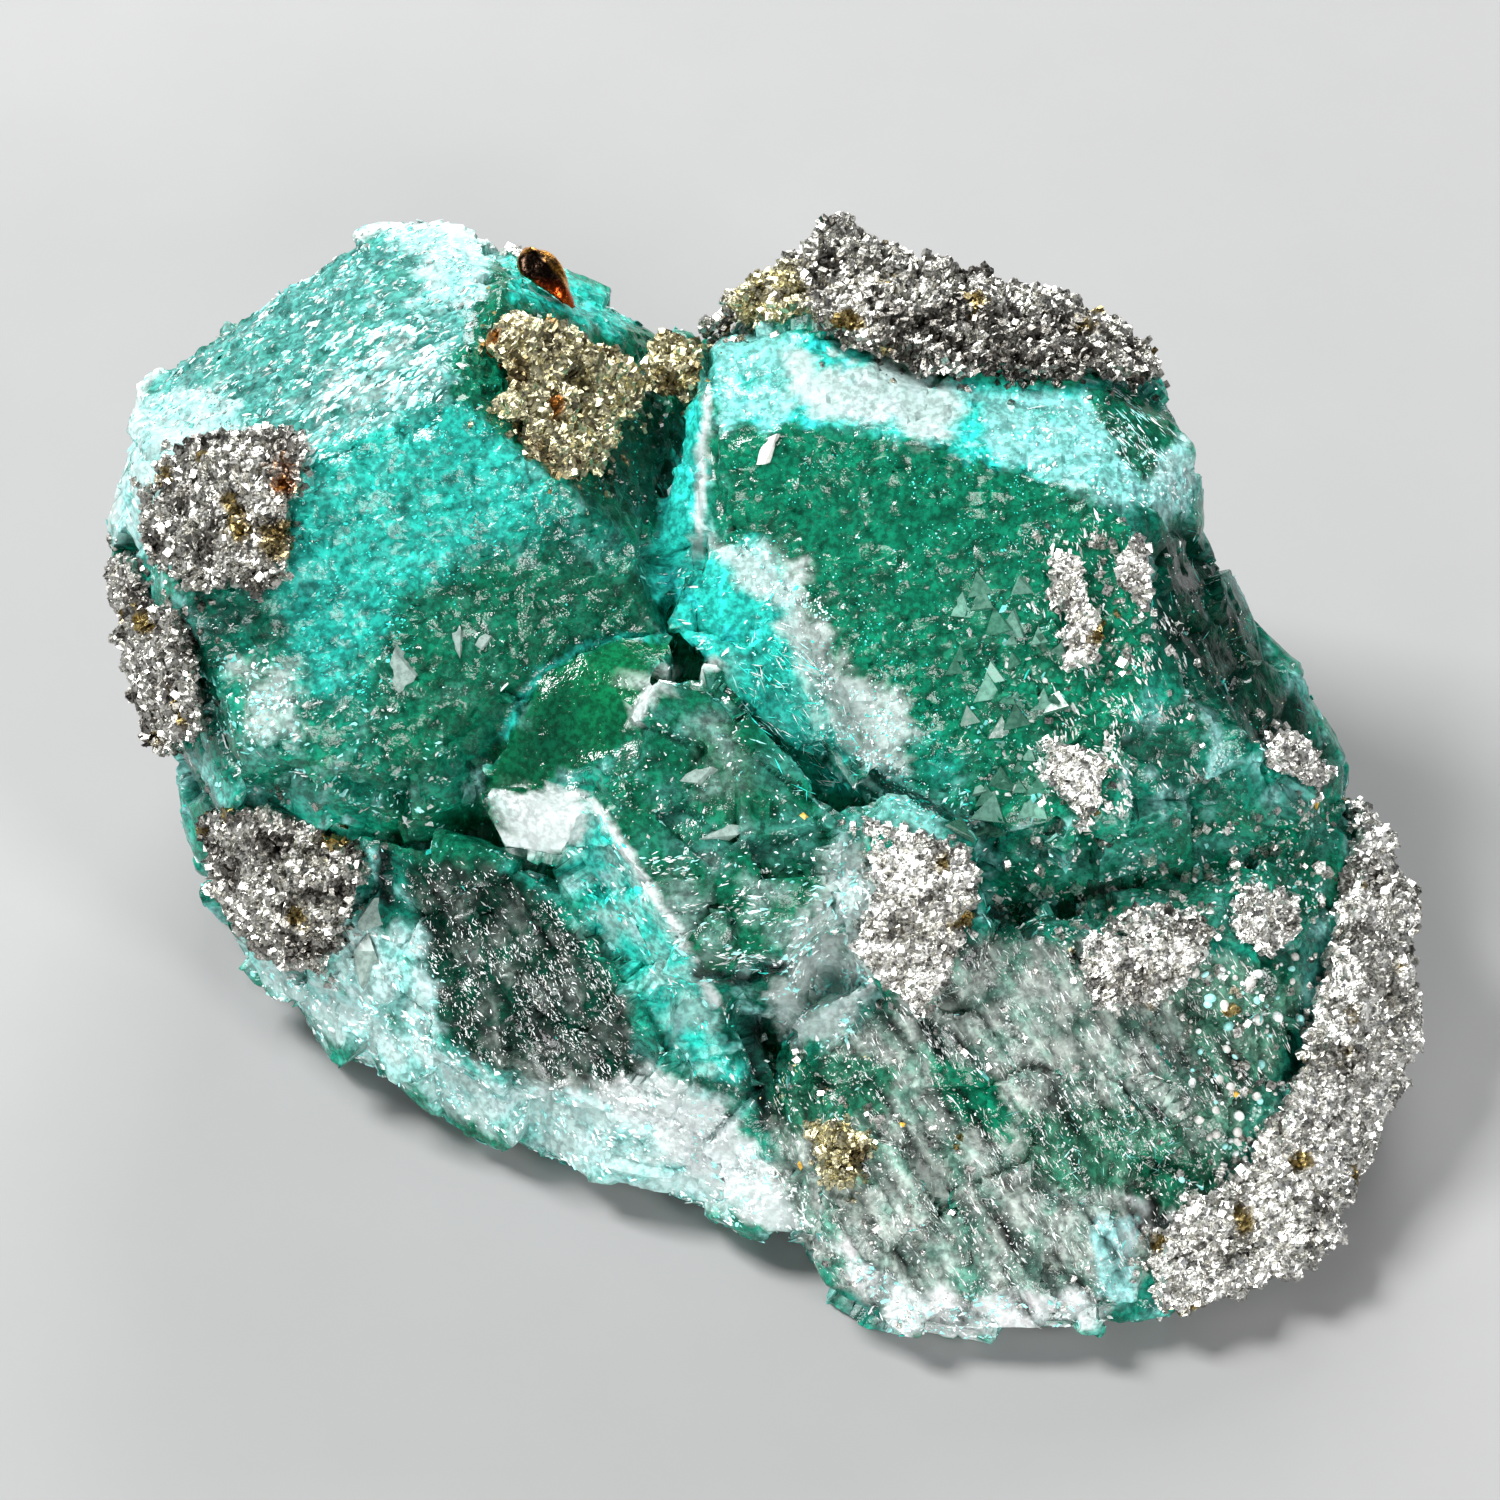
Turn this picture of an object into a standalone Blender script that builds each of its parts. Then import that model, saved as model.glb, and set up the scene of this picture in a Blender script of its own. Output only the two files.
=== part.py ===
"""Green fluorite with pyrite: one loose hand specimen, about 60 mm long.

Two intergrown fluorite crystals and their broken lower blocks form one solid, and each crust of
pyrite that grew on them is a solid of its own. The specimen rests on its flat broken base, and its
best side leans back. Most points are given in millimetres in the frame of that side: u to the right,
v up along the side, w out of it.
"""

import math

import bmesh
import bpy
from mathutils import Matrix, Vector, geometry, noise
from mathutils.bvhtree import BVHTree

MM = 0.001
LEAN = math.radians(50.0)  # how far the best side's normal rises above the horizontal
RISE = 13.0  # height of the frame's origin above the ground
GROUND_DEPTH = 3.0  # blocks run this far below the ground before they are cut off flat
GROUND_WIDTH = 200.0  # of the slab that cuts them
GAP = 0.32  # clearance between a crust and the crystal that it grew on
CRUST_GRID = 1.25  # spacing of the points on a wide crust
SMALL_CRUST_GRID = 0.85
WIDE_CRUST = 6.0  # from its middle to its furthest corner
CAST_HEIGHT = 12.0  # how far over a crust's highest corner the surface is looked for
CAST_DEPTH = 1.5  # how far under its lowest corner it may lie
CRUST_ROOT = 1.6  # how far a crust's walls run into the crystal before they are cut away
LUMP_SIZE = 1.9  # width of the lumps on a crust
LUMP_TOP = 1.15  # height of a lump's middle, and how fast it falls away, in crust thicknesses
LUMP_FALL = 0.75
THINNEST = 0.35
WAVE_RISE = 0.25  # slow unevenness of a crust's height, in mm, and how often it repeats
WAVE_RATE = 0.9
FRONT_CLEAR = 40.0  # in front of everything, where a look at the best side starts
SHIFT = Vector((-0.1, 0.45, 0.0))  # brings the middle of the base to the origin

# The crystal blocks: corners (u, v, w) on the best side, then (x, y) corners on the ground.
LEFT_CRYSTAL = (
    (
        (-20, 13.5, 8.2),
        (-13.7, 16.7, 8.8),
        (-10.5, 14, 8.2),
        (-5.5, 10, 5.4),
        (-4.5, 6, 4),
        (-11, 2.5, 6.2),
        (-16, -0.5, 6.2),
        (-23, 1, 6),
        (-25.5, 7, 6),
        (-23.5, -2.5, 1.5),
        (-12, -2, 3),
        (-27.8, 14.5, 0.5),
        (-11.5, 21.5, 3),
        (-29.8, 12, -5),
        (-28.3, 17.5, -5),
        (-17.6, 24.7, -4),
        (-15.5, 25, -4.5),
        (-11.3, 23.9, -5),
        (-7, 21.6, -6),
        (-3.2, 19.3, -7),
        (-2.7, 9.5, -3),
        (-28.8, 7, -6),
        (-27.3, 1.5, -5),
        (-25.6, -3.5, -6),
    ),
    ((-24, 3), (-21, 17), (-4, 20), (-2, 0), (-20, -1)),
)
RIGHT_CRYSTAL = (
    (
        (-2, 14.5, 3.5),
        (1.5, 15.2, 4),
        (8, 14.5, 4.8),
        (15, 12, 5.6),
        (17, 10, 5.7),
        (17.7, 6, 5.6),
        (15.5, -1.5, 5.1),
        (11, -3, 4.5),
        (5.5, -0.5, 3.9),
        (2, 6, 3.7),
        (-1.5, 10.5, 3.4),
        (-2, 18.8, 0.5),
        (1.8, 20, 1),
        (8, 17.8, 2),
        (15.5, 17, 1.5),
        (19.5, 14.5, 0),
        (19.9, 12, -1),
        (-1, 20.6, -2.5),
        (0.4, 21.6, -3),
        (3.5, 23.2, -3.5),
        (6, 21.9, -4),
        (10, 21.5, -4.5),
        (14, 20.8, -4.5),
        (17, 19.2, -3.5),
        (18.5, 17, -3),
        (19.6, 14.8, -3),
        (20.1, 11.2, -3.5),
        (-3, 19.2, -2.5),
    ),
    ((-2, 20), (18, 19), (20, 10), (19, -5), (0, -4)),
)
RIGHT_SIDE = (
    (
        (17, 10, 4.6),
        (17.7, 6, 5.4),
        (15.5, -1.5, 4.9),
        (20.2, 10.8, -2.5),
        (22.2, 7.3, -3.5),
        (24.3, 4.2, -4),
        (26.4, 0.9, -4.5),
        (22, 1.5, 3.5),
        (24.5, -2, 2),
        (16, 9, -6),
    ),
    ((15, -4), (25, -6), (25, 8), (19, 12)),
)
CENTRE_BLOCK = (
    (
        (-4.7, 4.1, 7.6),
        (-2, 4.7, 7.5),
        (-0.4, 2.8, 7.9),
        (2.5, -0.8, 8.6),
        (3.6, -2.2, 8.9),
        (2.9, -5.1, 9.5),
        (0.7, -7.9, 10),
        (-1.4, -8.3, 10.1),
        (-3.7, -6.9, 9.8),
        (-5.7, -4.1, 9.3),
        (-7.4, -1.6, 8.8),
        (-5.6, 2.3, 8),
        (-2.2, -10.2, 6.2),
        (-6.2, -10.4, 4.5),
        (-8.4, -6.5, 5),
        (-8.7, -3.9, 6.5),
        (1.5, -9.5, 6.5),
    ),
    ((-6, 2), (4, 4), (4, -8), (-5, -8)),
)
LOWER_LEFT_BLOCK = (
    (
        (-16.2, -4.2, 3.1),
        (-11.7, -4, 4.9),
        (-8.8, -6.2, 5.5),
        (-6.2, -9.6, 5.7),
        (-5.4, -13.4, 5.2),
        (-8.4, -14.8, 3.8),
        (-11.8, -13.4, 2.8),
        (-14.5, -11.8, 2.1),
        (-20.5, -8.5, 0.5),
        (-18, -3, 2.6),
        (-2, -16.5, 4.6),
        (-1, -11, 5.6),
        (-22.5, -2.2, 1.4),
        (-24.8, -3, -4),
        (-25.2, -5.5, -6),
        (-25, -7.6, -6.3),
        (-22, -10.1, -5.8),
        (-19.4, -12.5, -4.2),
        (-17.3, -14.1, -3),
        (-14.2, -15.5, -1.8),
        (-12.8, -16.4, -1),
        (-10.4, -16.9, -0.2),
        (-7.7, -18.1, 0.9),
        (-2.7, -19.1, 1.8),
        (0.2, -20.5, 2.9),
        (2.4, -20.8, 3.4),
        (1.6, -17.4, 5),
        (0.4, -14, 5.2),
    ),
    ((-22, 3), (-20, -2.5), (-13, -7), (-4, -11), (0, -11), (2, 4)),
)
LOWER_RIGHT_BLOCK = (
    (
        (4.2, -9.5, 6.8),
        (9.5, -8, 6.6),
        (19, -7.5, 5.4),
        (24, -9, 3.6),
        (23.5, -13, 3.6),
        (21, -17, 4.4),
        (9, -17.5, 7),
        (3.8, -17, 7.2),
        (1, -12, 6),
        (13, -18, 6.9),
        (2.2, -20.9, 5),
        (2.9, -22.7, 6),
        (4.6, -24.3, 6.5),
        (6.4, -25, 6.7),
        (11, -24.8, 6.8),
        (14.5, -25, 6.7),
        (15.6, -24.7, 6),
        (19, -21.5, 4.5),
        (26.6, -1.6, -3),
        (28.2, -5.2, -4),
        (28.2, -12, -3),
        (26.8, -17, -1),
        (23.2, -21.8, 2.8),
    ),
    ((1, -14), (6, -19.5), (14, -20), (22, -15), (25, -6), (23, 6), (0, 0)),
)
MIDDLE_LEDGE = (
    (
        (3.4, -2, 7.2),
        (6, -1.2, 6.6),
        (9.6, -3, 6.8),
        (10.2, -6, 7.4),
        (9.4, -9, 7.6),
        (7.2, -11.2, 7.4),
        (4, -8.5, 8),
        (3, -5.5, 8.4),
    ),
    ((3, 0), (12, 0), (10, -8), (3, -8)),
)
BACK_MASS = (
    (
        (-20, 14, -12),
        (-22, 6, -15),
        (-10, 19.8, -11.5),
        (6, 20.2, -11),
        (16, 15, -12),
        (22, 4, -12),
    ),
    ((-19, 19), (-8, 22), (6, 22.5), (19, 18), (23, 8), (-22, 8)),
)
# The small forms that stand on the blocks, as corners (u, v, w) alone.
LEAF_SHARD = (
    (-12.8, -1.3, 5.4),
    (-11.4, 1.5, 6),
    (-10, 3.8, 6.3),
    (-8.1, 5.3, 6.2),
    (-6.2, 6, 5.7),
    (-3.9, 5.7, 5.2),
    (-4.7, 4.1, 6.9),
    (-5.6, 2.3, 7.8),
    (-7.4, -0.5, 8.2),
    (-10, -1.2, 7),
    (-10, 1, 0),
    (-5, 3, 0),
    (-8, -3, 1),
)
CLEAVED_FRAGMENT = (
    (-11.5, -3.6, 6.6),
    (-8.8, -4.2, 7.8),
    (-7.4, -1.2, 9.2),
    (-9, -0.8, 8.9),
    (-11.7, -0.8, 7.6),
    (-12.5, -1.9, 6.8),
    (-11, -3, 2),
    (-8, -3, 2),
    (-9.5, -1, 2),
)
SEAM_BLADE = (
    (-2.2, 17.5, 1.4),
    (-2.6, 12, 2.6),
    (-2.7, 9.5, 3),
    (-1.5, 7, 3.8),
    (-3.8, 7, 3.6),
    (-4.8, 10, 2.2),
    (-3.4, 15.7, 0.6),
    (-2.2, 17, -4),
    (-3.5, 8, -4),
    (-1.8, 8, -4),
)
GLOW_SILL = (
    (-3.8, 9.4, 3.4),
    (-1.5, 10.2, 3.6),
    (1.2, 8.4, 3.8),
    (2.8, 4.6, 4),
    (5.6, 0.4, 4.2),
    (4.2, -1.4, 5.6),
    (0.6, 3.6, 5.2),
    (-2.4, 5.4, 5),
    (-4.2, 6.4, 4.4),
    (-2, 6, 0),
    (4, 0, 0),
)
TUBE_NECK = (
    (15.2, -19.6, 6),
    (16.6, -19.8, 6.2),
    (16.8, -23.6, 6.4),
    (14.9, -24.2, 6.9),
    (14.2, -22, 7),
    (15.5, -20, 3),
    (15.5, -23, 4),
)
PLATELETS = (
    ((9.4, 5.6, 4.9), 1.7, 20.0),
    ((11.6, 3.6, 5.0), 1.9, -35.0),
    ((12.9, 6.0, 5.3), 1.3, 70.0),
    ((10.6, 0.8, 4.8), 1.5, 10.0),
    ((13.4, -3.4, 5.1), 1.4, 50.0),
)
PLATELET_RISE = 0.35
PLATELET_ROOT = 2.0
PLATELET_TAPER = 0.73  # its top's width as a share of its root's

# The cuts. A ledge is a slab taken off the back or a side: its place (x, y, z) and turns about x, y, z.
LEDGE_SIZE = (14.0, 4.0, 9.0)
LEDGES = (
    ((-16, 22.6, 14), (-24, 8, 6)),
    ((-3, 25.0, 6), (8, 0, -6)),
    ((11, 24.5, 13), (-20, -6, -9)),
    ((-28.2, 8, 5), (6, -14, 78)),
    ((27.6, 7, 10), (4, 12, -74)),
)
SCOOPS = (
    ((-8.6, 2.2, 11.5), 5.2),
    ((18.1, -18.6, 7.4), 2.4),
    ((2.8, -11.4, 9.6), 3.4),
    ((-17, -9.8, 4.4), 2.6),
    ((21.5, -3.6, 8.4), 4.4),
)
PITS = (
    ((7.6, -12.0, 8.2), 1.3, 3.2),
    ((-16.9, -4.6, 4.4), 1.1, 3.0),
    ((0.1, -12.6, 7.4), 1.0, 4.0),
    ((4.6, -13.2, 8.0), 0.7, 1.8),
)
# Cleavage ridges: the face's plane as w at the frame's origin and its rise along u and v, the first
# ridge's start (u, v), the step to the next (u, v), then how many, how long and their turn in degrees.
RIDGES = (
    ((10.3, 0.38, 0.22), (-14.6, -5.2), (1.45, -0.45), 6, 8.0, -57.0),
    ((7.2, -0.126, -0.074), (8.2, -10.6), (1.7, 0.05), 6, 6.5, -55.0),
    ((7.6, -0.03, 0.02), (5.0, -18.4), (1.75, -0.05), 5, 5.6, -60.0),
)
RIDGE_RISE = 0.32
RIDGE_WIDTH = 0.9
RIDGE_ROOT = 1.5
RIDGE_UNEVEN = 0.25  # how much shorter than given the shortest ridge may be
RIDGE_STAGGER = 0.4

# The crusts: name, the way it faces (u, v, w), its outline, its thickness and its peaks. An outline
# corner (u, v) lies on what the best side shows, and (u, v, w) is a corner round the edge.
CRUSTS = (
    (
        "pyrite_crown",
        (0, 0.62, 0.78),
        (
            (-3.1, 19.2, -2.5),
            (-2.6, 19.4, -1),
            (-1.4, 19.7),
            (2, 20),
            (4.5, 18.4),
            (8, 17.4),
            (12, 17.2),
            (15.5, 17.2),
            (17.4, 17, -1),
            (18.2, 16.8, -3.4),
            (17, 19, -4.4),
            (14, 20.6, -5.4),
            (10, 21.4, -5.6),
            (3.5, 23, -4.8),
            (-0.5, 21.4, -4),
            (-2.6, 19.8, -3),
        ),
        1.5,
        (((3, 24, -4), 2.3, 2.3), ((0.6, 22.4, -3), 1.6, 1.1), ((-1.8, 20.5, -2), 1.6, 0.7)),
    ),
    (
        "pyrite_flank",
        (0.72, -0.12, 0.68),
        (
            (26.1, -1.3),
            (26, -4),
            (25.6, -5.9),
            (25, -8.6),
            (24.3, -10.8),
            (23.8, -13),
            (22.8, -14.9),
            (21.4, -17.1),
            (19.6, -18.9),
            (17.6, -20.2),
            (16.8, -21.6),
            (17, -23.8, 5.6),
            (20, -24.2, 4.6),
            (22.8, -22.8, 2.5),
            (25.4, -19.6, -1),
            (26.8, -16, -5),
            (27.8, -12, -8),
            (27.8, -7, -9),
            (27, -2.6, -8),
            (26.5, -1.4, -5),
        ),
        1.8,
        (((28.4, -6, -3), 3.2, 0.7), ((28.4, -11.5, -2), 3, 0.7), ((24, -21, 3), 3.4, 0.9)),
    ),
    (
        "pyrite_gold_cluster",
        (0.1, 0.1, 1),
        (
            (-12, 18.6),
            (-11.8, 19.8),
            (-10.6, 20),
            (-9, 19.6),
            (-7.2, 19.1),
            (-5.4, 17.3),
            (-5.4, 16),
            (-6.5, 15.5),
            (-6.7, 14),
            (-7.2, 13.1),
            (-8.6, 13.1),
            (-10.6, 13.7),
            (-10.4, 15.8),
            (-11.5, 16),
            (-11.3, 17.3),
        ),
        1.0,
        (((-9, 17.4, 6.5), 2, 0.6), ((-8.4, 14.5, 7), 1.5, 0.5)),
    ),
    (
        "pyrite_left_patch",
        (-0.1, 0.1, 1),
        (
            (-27.5, 12.6),
            (-26.1, 14.2),
            (-24.5, 14.9),
            (-20.7, 15.2),
            (-20, 14.2),
            (-20.2, 12.6),
            (-20.8, 11.3),
            (-20.5, 9.5),
            (-21.2, 8.1),
            (-22.3, 7.7),
            (-23.4, 8.1),
            (-24.5, 7.7),
            (-26.8, 9),
            (-27.5, 10.6),
        ),
        0.9,
        (((-24, 12, 5), 2.4, 0.5), ((-21.5, 10.5, 6), 1.8, 0.4)),
    ),
    (
        "pyrite_left_rim",
        (-0.62, -0.1, 0.78),
        (
            (-29.1, 9.4, -5),
            (-28.6, 10),
            (-27.5, 9),
            (-26.9, 7.7),
            (-25.4, 6.8),
            (-24.6, 5),
            (-24.7, 1.7),
            (-26.1, 1.2),
            (-26.9, 1),
            (-27.4, 1.4, -4),
            (-28.3, 5, -5.5),
        ),
        0.9,
        (((-27.6, 6, -1), 2.2, 0.4),),
    ),
    (
        "pyrite_lower_left",
        (-0.35, -0.2, 0.9),
        (
            (-24.7, -1.8),
            (-22.5, -1.5),
            (-19.8, -2.3),
            (-17.8, -2.9),
            (-17.3, -4.5),
            (-18.5, -7.2),
            (-19.4, -9),
            (-21.2, -8.8),
            (-23.2, -7.2),
            (-24.6, -5.4),
            (-24.8, -3.2),
        ),
        0.8,
        (((-21.5, -4.5, 0), 2.6, 0.3),),
    ),
    (
        "pyrite_centre",
        (0.05, 0, 1),
        (
            (4.4, -2),
            (6.6, -2.6),
            (9, -3.6),
            (9.7, -5),
            (9.4, -6.6),
            (8.7, -8.1),
            (7.9, -9.4),
            (7.2, -11.1),
            (6.2, -10.2),
            (4.7, -8.9),
            (3.9, -7.7),
            (4.9, -6),
            (5, -4.3),
        ),
        0.7,
        (((7, -5.6, 7.4), 2, 0.4),),
    ),
    (
        "pyrite_streak_upper",
        (0.1, 0.05, 1),
        (
            (13.1, 9.9),
            (14.2, 9.5),
            (14.6, 7.7),
            (15.3, 5.9),
            (14.9, 4.7),
            (13.5, 5),
            (13.1, 6.3),
            (12.6, 7.7),
            (12.8, 9),
        ),
        0.5,
        (((14, 7, 6), 1.6, 0.2),),
    ),
    (
        "pyrite_streak_side",
        (0.1, 0.05, 1),
        (
            (15.8, 9.5),
            (16.6, 10.4),
            (17.3, 9.9),
            (17.4, 8.1),
            (17, 6.8),
            (16.4, 7.7),
            (15.7, 8.3),
        ),
        0.5,
        (((16.8, 8.8, 6), 1.2, 0.3),),
    ),
    (
        "pyrite_streak_lower",
        (0.1, 0, 1),
        (
            (12.6, 1.4),
            (14.4, 1.1),
            (15.6, 0.5),
            (15.3, -0.9),
            (14.4, -2.7),
            (13.5, -1.4),
            (12.8, -0.7),
        ),
        0.6,
        (((14.2, -0.2, 5), 1.6, 0.2),),
    ),
    (
        "pyrite_edge_patch",
        (0.4, 0.1, 0.9),
        (
            (22.3, 1.6),
            (23.6, 1.7),
            (24.8, 0.9),
            (25.7, -0.1),
            (25.3, -0.7),
            (24.3, -0.8),
            (23.2, -0.2),
            (22.3, 0.7),
        ),
        0.5,
        (((24, 0.5, 3), 1.4, 0.2),),
    ),
    (
        "pyrite_lower_patch",
        (0.1, -0.05, 1),
        (
            (14.4, -7.4),
            (15.8, -6.5),
            (17.6, -5.9),
            (19.4, -6.1),
            (20.2, -7.4),
            (19.4, -8.8),
            (18.5, -9.7),
            (17.1, -10.4),
            (15.3, -10.8),
            (14.2, -9.7),
            (14, -8.3),
        ),
        0.7,
        (((17, -8.2, 6), 2, 0.3),),
    ),
    (
        "pyrite_small_patch",
        (0.2, 0, 1),
        (
            (20.9, -5.2),
            (22.5, -5),
            (23.8, -5.8),
            (23.9, -7.4),
            (22.6, -8.4),
            (21.2, -7.6),
        ),
        0.6,
        (((22.6, -6.8, 4), 1.4, 0.3),),
    ),
    (
        "pyrite_foot",
        (0, -0.1, 1),
        (
            (2, -15.5),
            (3.5, -15.3),
            (4.8, -16.2),
            (4.6, -17.8),
            (3.2, -18.3),
            (2.4, -17.3),
        ),
        0.6,
        (((3.2, -16.8, 7), 1.4, 0.3),),
    ),
)
# Single grown grains: name, place (u, v), its three half sizes and its turn about w in degrees.
GRAINS = (
    ("pyrite_ball", (-3.6, 18.2, -1.2), (1.6, 1.6, 1.6), 0.0),
    ("pyrite_tarnished_grain", (-9.7, 21.6), (1.3, 2.2, 1.2), 22.0),
)
GRAIN_SINK = 0.35  # the share of a grain that is below the crystal's surface
GRAIN_LUMPS = 1.6  # lumps along a grain's half size
GRAIN_TOP = 1.12  # reach of its lumps and how far the hollows between them fall back
GRAIN_FALL = 0.35
PYRITE_LOOK = ((0.62, 0.58, 0.50, 1.0), 0.32, 1.0)
GOLD_LOOK = ((0.55, 0.42, 0.22, 1.0), 0.38, 1.0)
BROWN_LOOK = ((0.22, 0.11, 0.04, 1.0), 0.3, 0.8)
CRUST_LOOKS = {
    "pyrite_gold_cluster": GOLD_LOOK,
    "pyrite_ball": GOLD_LOOK,
    "pyrite_foot": GOLD_LOOK,
    "pyrite_tarnished_grain": BROWN_LOOK,
}
FLUORITE_LOOK = ((0.03, 0.36, 0.30, 1.0), 0.25, 0.0)


def face(u, v, w):
    """The point of the best side's frame, as a vector in the model's frame, in millimetres."""
    y = v * math.sin(LEAN) - w * math.cos(LEAN)
    z = v * math.cos(LEAN) + w * math.sin(LEAN) + RISE
    return Vector((u, y, z)) + SHIFT


def facing(u, v, w):
    """The direction of the best side's frame, as a unit vector."""
    return (face(u, v, w) - face(0, 0, 0)).normalized()


def clear_scene():
    for obj in list(bpy.data.objects):
        bpy.data.objects.remove(obj, do_unlink=True)


def add_object(name, bm):
    mesh = bpy.data.meshes.new(name)
    bm.to_mesh(mesh)
    bm.free()
    obj = bpy.data.objects.new(name, mesh)
    bpy.context.scene.collection.objects.link(obj)
    return obj


def helper(obj):
    """Marks a cutter or a guide, which isn't part of the specimen."""
    obj.hide_render = True
    obj.display_type = "WIRE"
    return obj


def remove_helpers():
    for obj in [obj for obj in bpy.data.objects if obj.hide_render]:
        bpy.data.objects.remove(obj, do_unlink=True)


def hull(name, points, grown=0.0):
    """The convex solid around points in millimetres, grown outwards by a clearance."""
    bm = bmesh.new()
    for point in points:
        bm.verts.new(point * MM)
    made = bmesh.ops.convex_hull(bm, input=bm.verts)
    inside = {g for g in made["geom_interior"] + made["geom_unused"] if isinstance(g, bmesh.types.BMVert)}
    bmesh.ops.delete(bm, geom=list(inside), context="VERTS")
    bmesh.ops.recalc_face_normals(bm, faces=bm.faces)
    if grown:
        bm.normal_update()
        moves = [(v, v.normal * v.calc_shell_factor() * grown * MM) for v in bm.verts]
        for vert, move in moves:
            vert.co += move
    return add_object(name, bm)


def boolean(obj, other, operation):
    modifier = obj.modifiers.new(other.name, "BOOLEAN")
    modifier.operation = operation
    modifier.solver = "EXACT"
    modifier.object = helper(other)


def settle(obj):
    """Puts the result of the object's modifiers in its mesh."""
    graph = bpy.context.evaluated_depsgraph_get()
    mesh = bpy.data.meshes.new_from_object(obj.evaluated_get(graph))
    obj.modifiers.clear()
    obj.data = mesh


def block_points(block):
    corners, ground = block
    low = [Vector((x, y, -GROUND_DEPTH)) + SHIFT for x, y in ground]
    return [face(*corner) for corner in corners] + low


def platelet_points(centre, size, turn):
    """A three-sided plate that lies on the right crystal's face."""
    u, v, w = centre
    points = []
    for corner in range(3):
        angle = math.radians(turn + 120 * corner)
        for depth, reach in ((PLATELET_RISE, size * PLATELET_TAPER), (-PLATELET_ROOT, size)):
            points.append(face(u + reach * math.cos(angle), v + reach * math.sin(angle), w + depth))
    return points


def ridge_points(plane, start, step, count, length, turn):
    """Parallel ridges on a face, each with a steep and a gentle side, uneven in length and start."""
    along = Vector((math.cos(math.radians(turn)), math.sin(math.radians(turn))))
    across = Vector((along.y, -along.x)) * RIDGE_WIDTH
    ridges = []
    for number in range(count):
        reach = length * (1 - RIDGE_UNEVEN * (1 - math.cos(2.4 * number)) / 2)
        near = Vector(start) + Vector(step) * number - along * RIDGE_STAGGER * math.sin(1.7 * number)
        points = []
        for share in (0.0, 1.0):
            spot = near + along * reach * share
            for side, rise in ((0.1, RIDGE_RISE), (0.0, -RIDGE_ROOT), (1.0, -RIDGE_ROOT), (1.0, -0.05)):
                edge = spot + across * side
                level = plane[0] + plane[1] * edge.x + plane[2] * edge.y
                points.append(face(edge.x, edge.y, level + rise))
        ridges.append(points)
    return ridges


def crystal_parts():
    """The corner points of every convex form that the fluorite is grown from."""
    blocks = (
        LEFT_CRYSTAL,
        RIGHT_CRYSTAL,
        CENTRE_BLOCK,
        LOWER_LEFT_BLOCK,
        LOWER_RIGHT_BLOCK,
        MIDDLE_LEDGE,
        BACK_MASS,
        RIGHT_SIDE,
    )
    parts = [block_points(block) for block in blocks]
    for corners in (LEAF_SHARD, CLEAVED_FRAGMENT, SEAM_BLADE, GLOW_SILL, TUBE_NECK):
        parts.append([face(*corner) for corner in corners])
    for centre, size, turn in PLATELETS:
        parts.append(platelet_points(centre, size, turn))
    for ridge in RIDGES:
        parts.extend(ridge_points(*ridge))
    return parts


def grow_crystals(name, grown):
    first, *others = crystal_parts()
    crystals = hull(name, first, grown)
    for number, points in enumerate(others):
        boolean(crystals, hull(f"{name}_form_{number}", points, grown), "UNION")
    settle(crystals)
    return crystals


def ledge_cutter(name, middle, turns):
    bm = bmesh.new()
    bmesh.ops.create_cube(bm, size=1.0)
    bmesh.ops.scale(bm, vec=Vector(LEDGE_SIZE) * MM, verts=bm.verts)
    for axis, angle in zip("XYZ", turns):
        bmesh.ops.rotate(bm, matrix=Matrix.Rotation(math.radians(angle), 3, axis), verts=bm.verts)
    bmesh.ops.translate(bm, vec=(Vector(middle) + SHIFT) * MM, verts=bm.verts)
    return add_object(name, bm)


def scoop_cutter(name, centre, radius):
    bm = bmesh.new()
    bmesh.ops.create_icosphere(bm, subdivisions=2, radius=radius * MM)
    bmesh.ops.translate(bm, vec=face(*centre) * MM, verts=bm.verts)
    return add_object(name, bm)


def pit_cutter(name, mouth, radius, depth):
    """A crooked pyramid whose tip is the pit's floor."""
    u, v, w = mouth
    tip = face(u + 0.3 * radius, v - 0.2 * radius, w - depth)
    rim = []
    for corner in range(5):
        angle = math.radians(72 * corner + 20)
        reach = radius * (1.0 if corner % 2 else 0.7)
        rim.append(face(u + reach * math.cos(angle), v + reach * math.sin(angle), w + 1.0))
    return hull(name, rim + [tip])


def ground_cutter():
    bm = bmesh.new()
    bmesh.ops.create_cube(bm, size=1.0)
    bmesh.ops.translate(bm, vec=(0, 0, -0.5), verts=bm.verts)
    bmesh.ops.scale(bm, vec=(GROUND_WIDTH * MM,) * 3, verts=bm.verts)
    return add_object("ground", bm)


def cut_crystals(crystals):
    cutters = [ground_cutter()]
    for number, (middle, turns) in enumerate(LEDGES):
        cutters.append(ledge_cutter(f"ledge_{number}", middle, turns))
    for number, (centre, radius) in enumerate(SCOOPS):
        cutters.append(scoop_cutter(f"scoop_{number}", centre, radius))
    for number, (mouth, radius, depth) in enumerate(PITS):
        cutters.append(pit_cutter(f"pit_{number}", mouth, radius, depth))
    for cutter in cutters:
        boolean(crystals, cutter, "DIFFERENCE")
    settle(crystals)


def surface_of(obj):
    bm = bmesh.new()
    bm.from_mesh(obj.data)
    tree = BVHTree.FromBMesh(bm)
    bm.free()
    return tree


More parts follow.
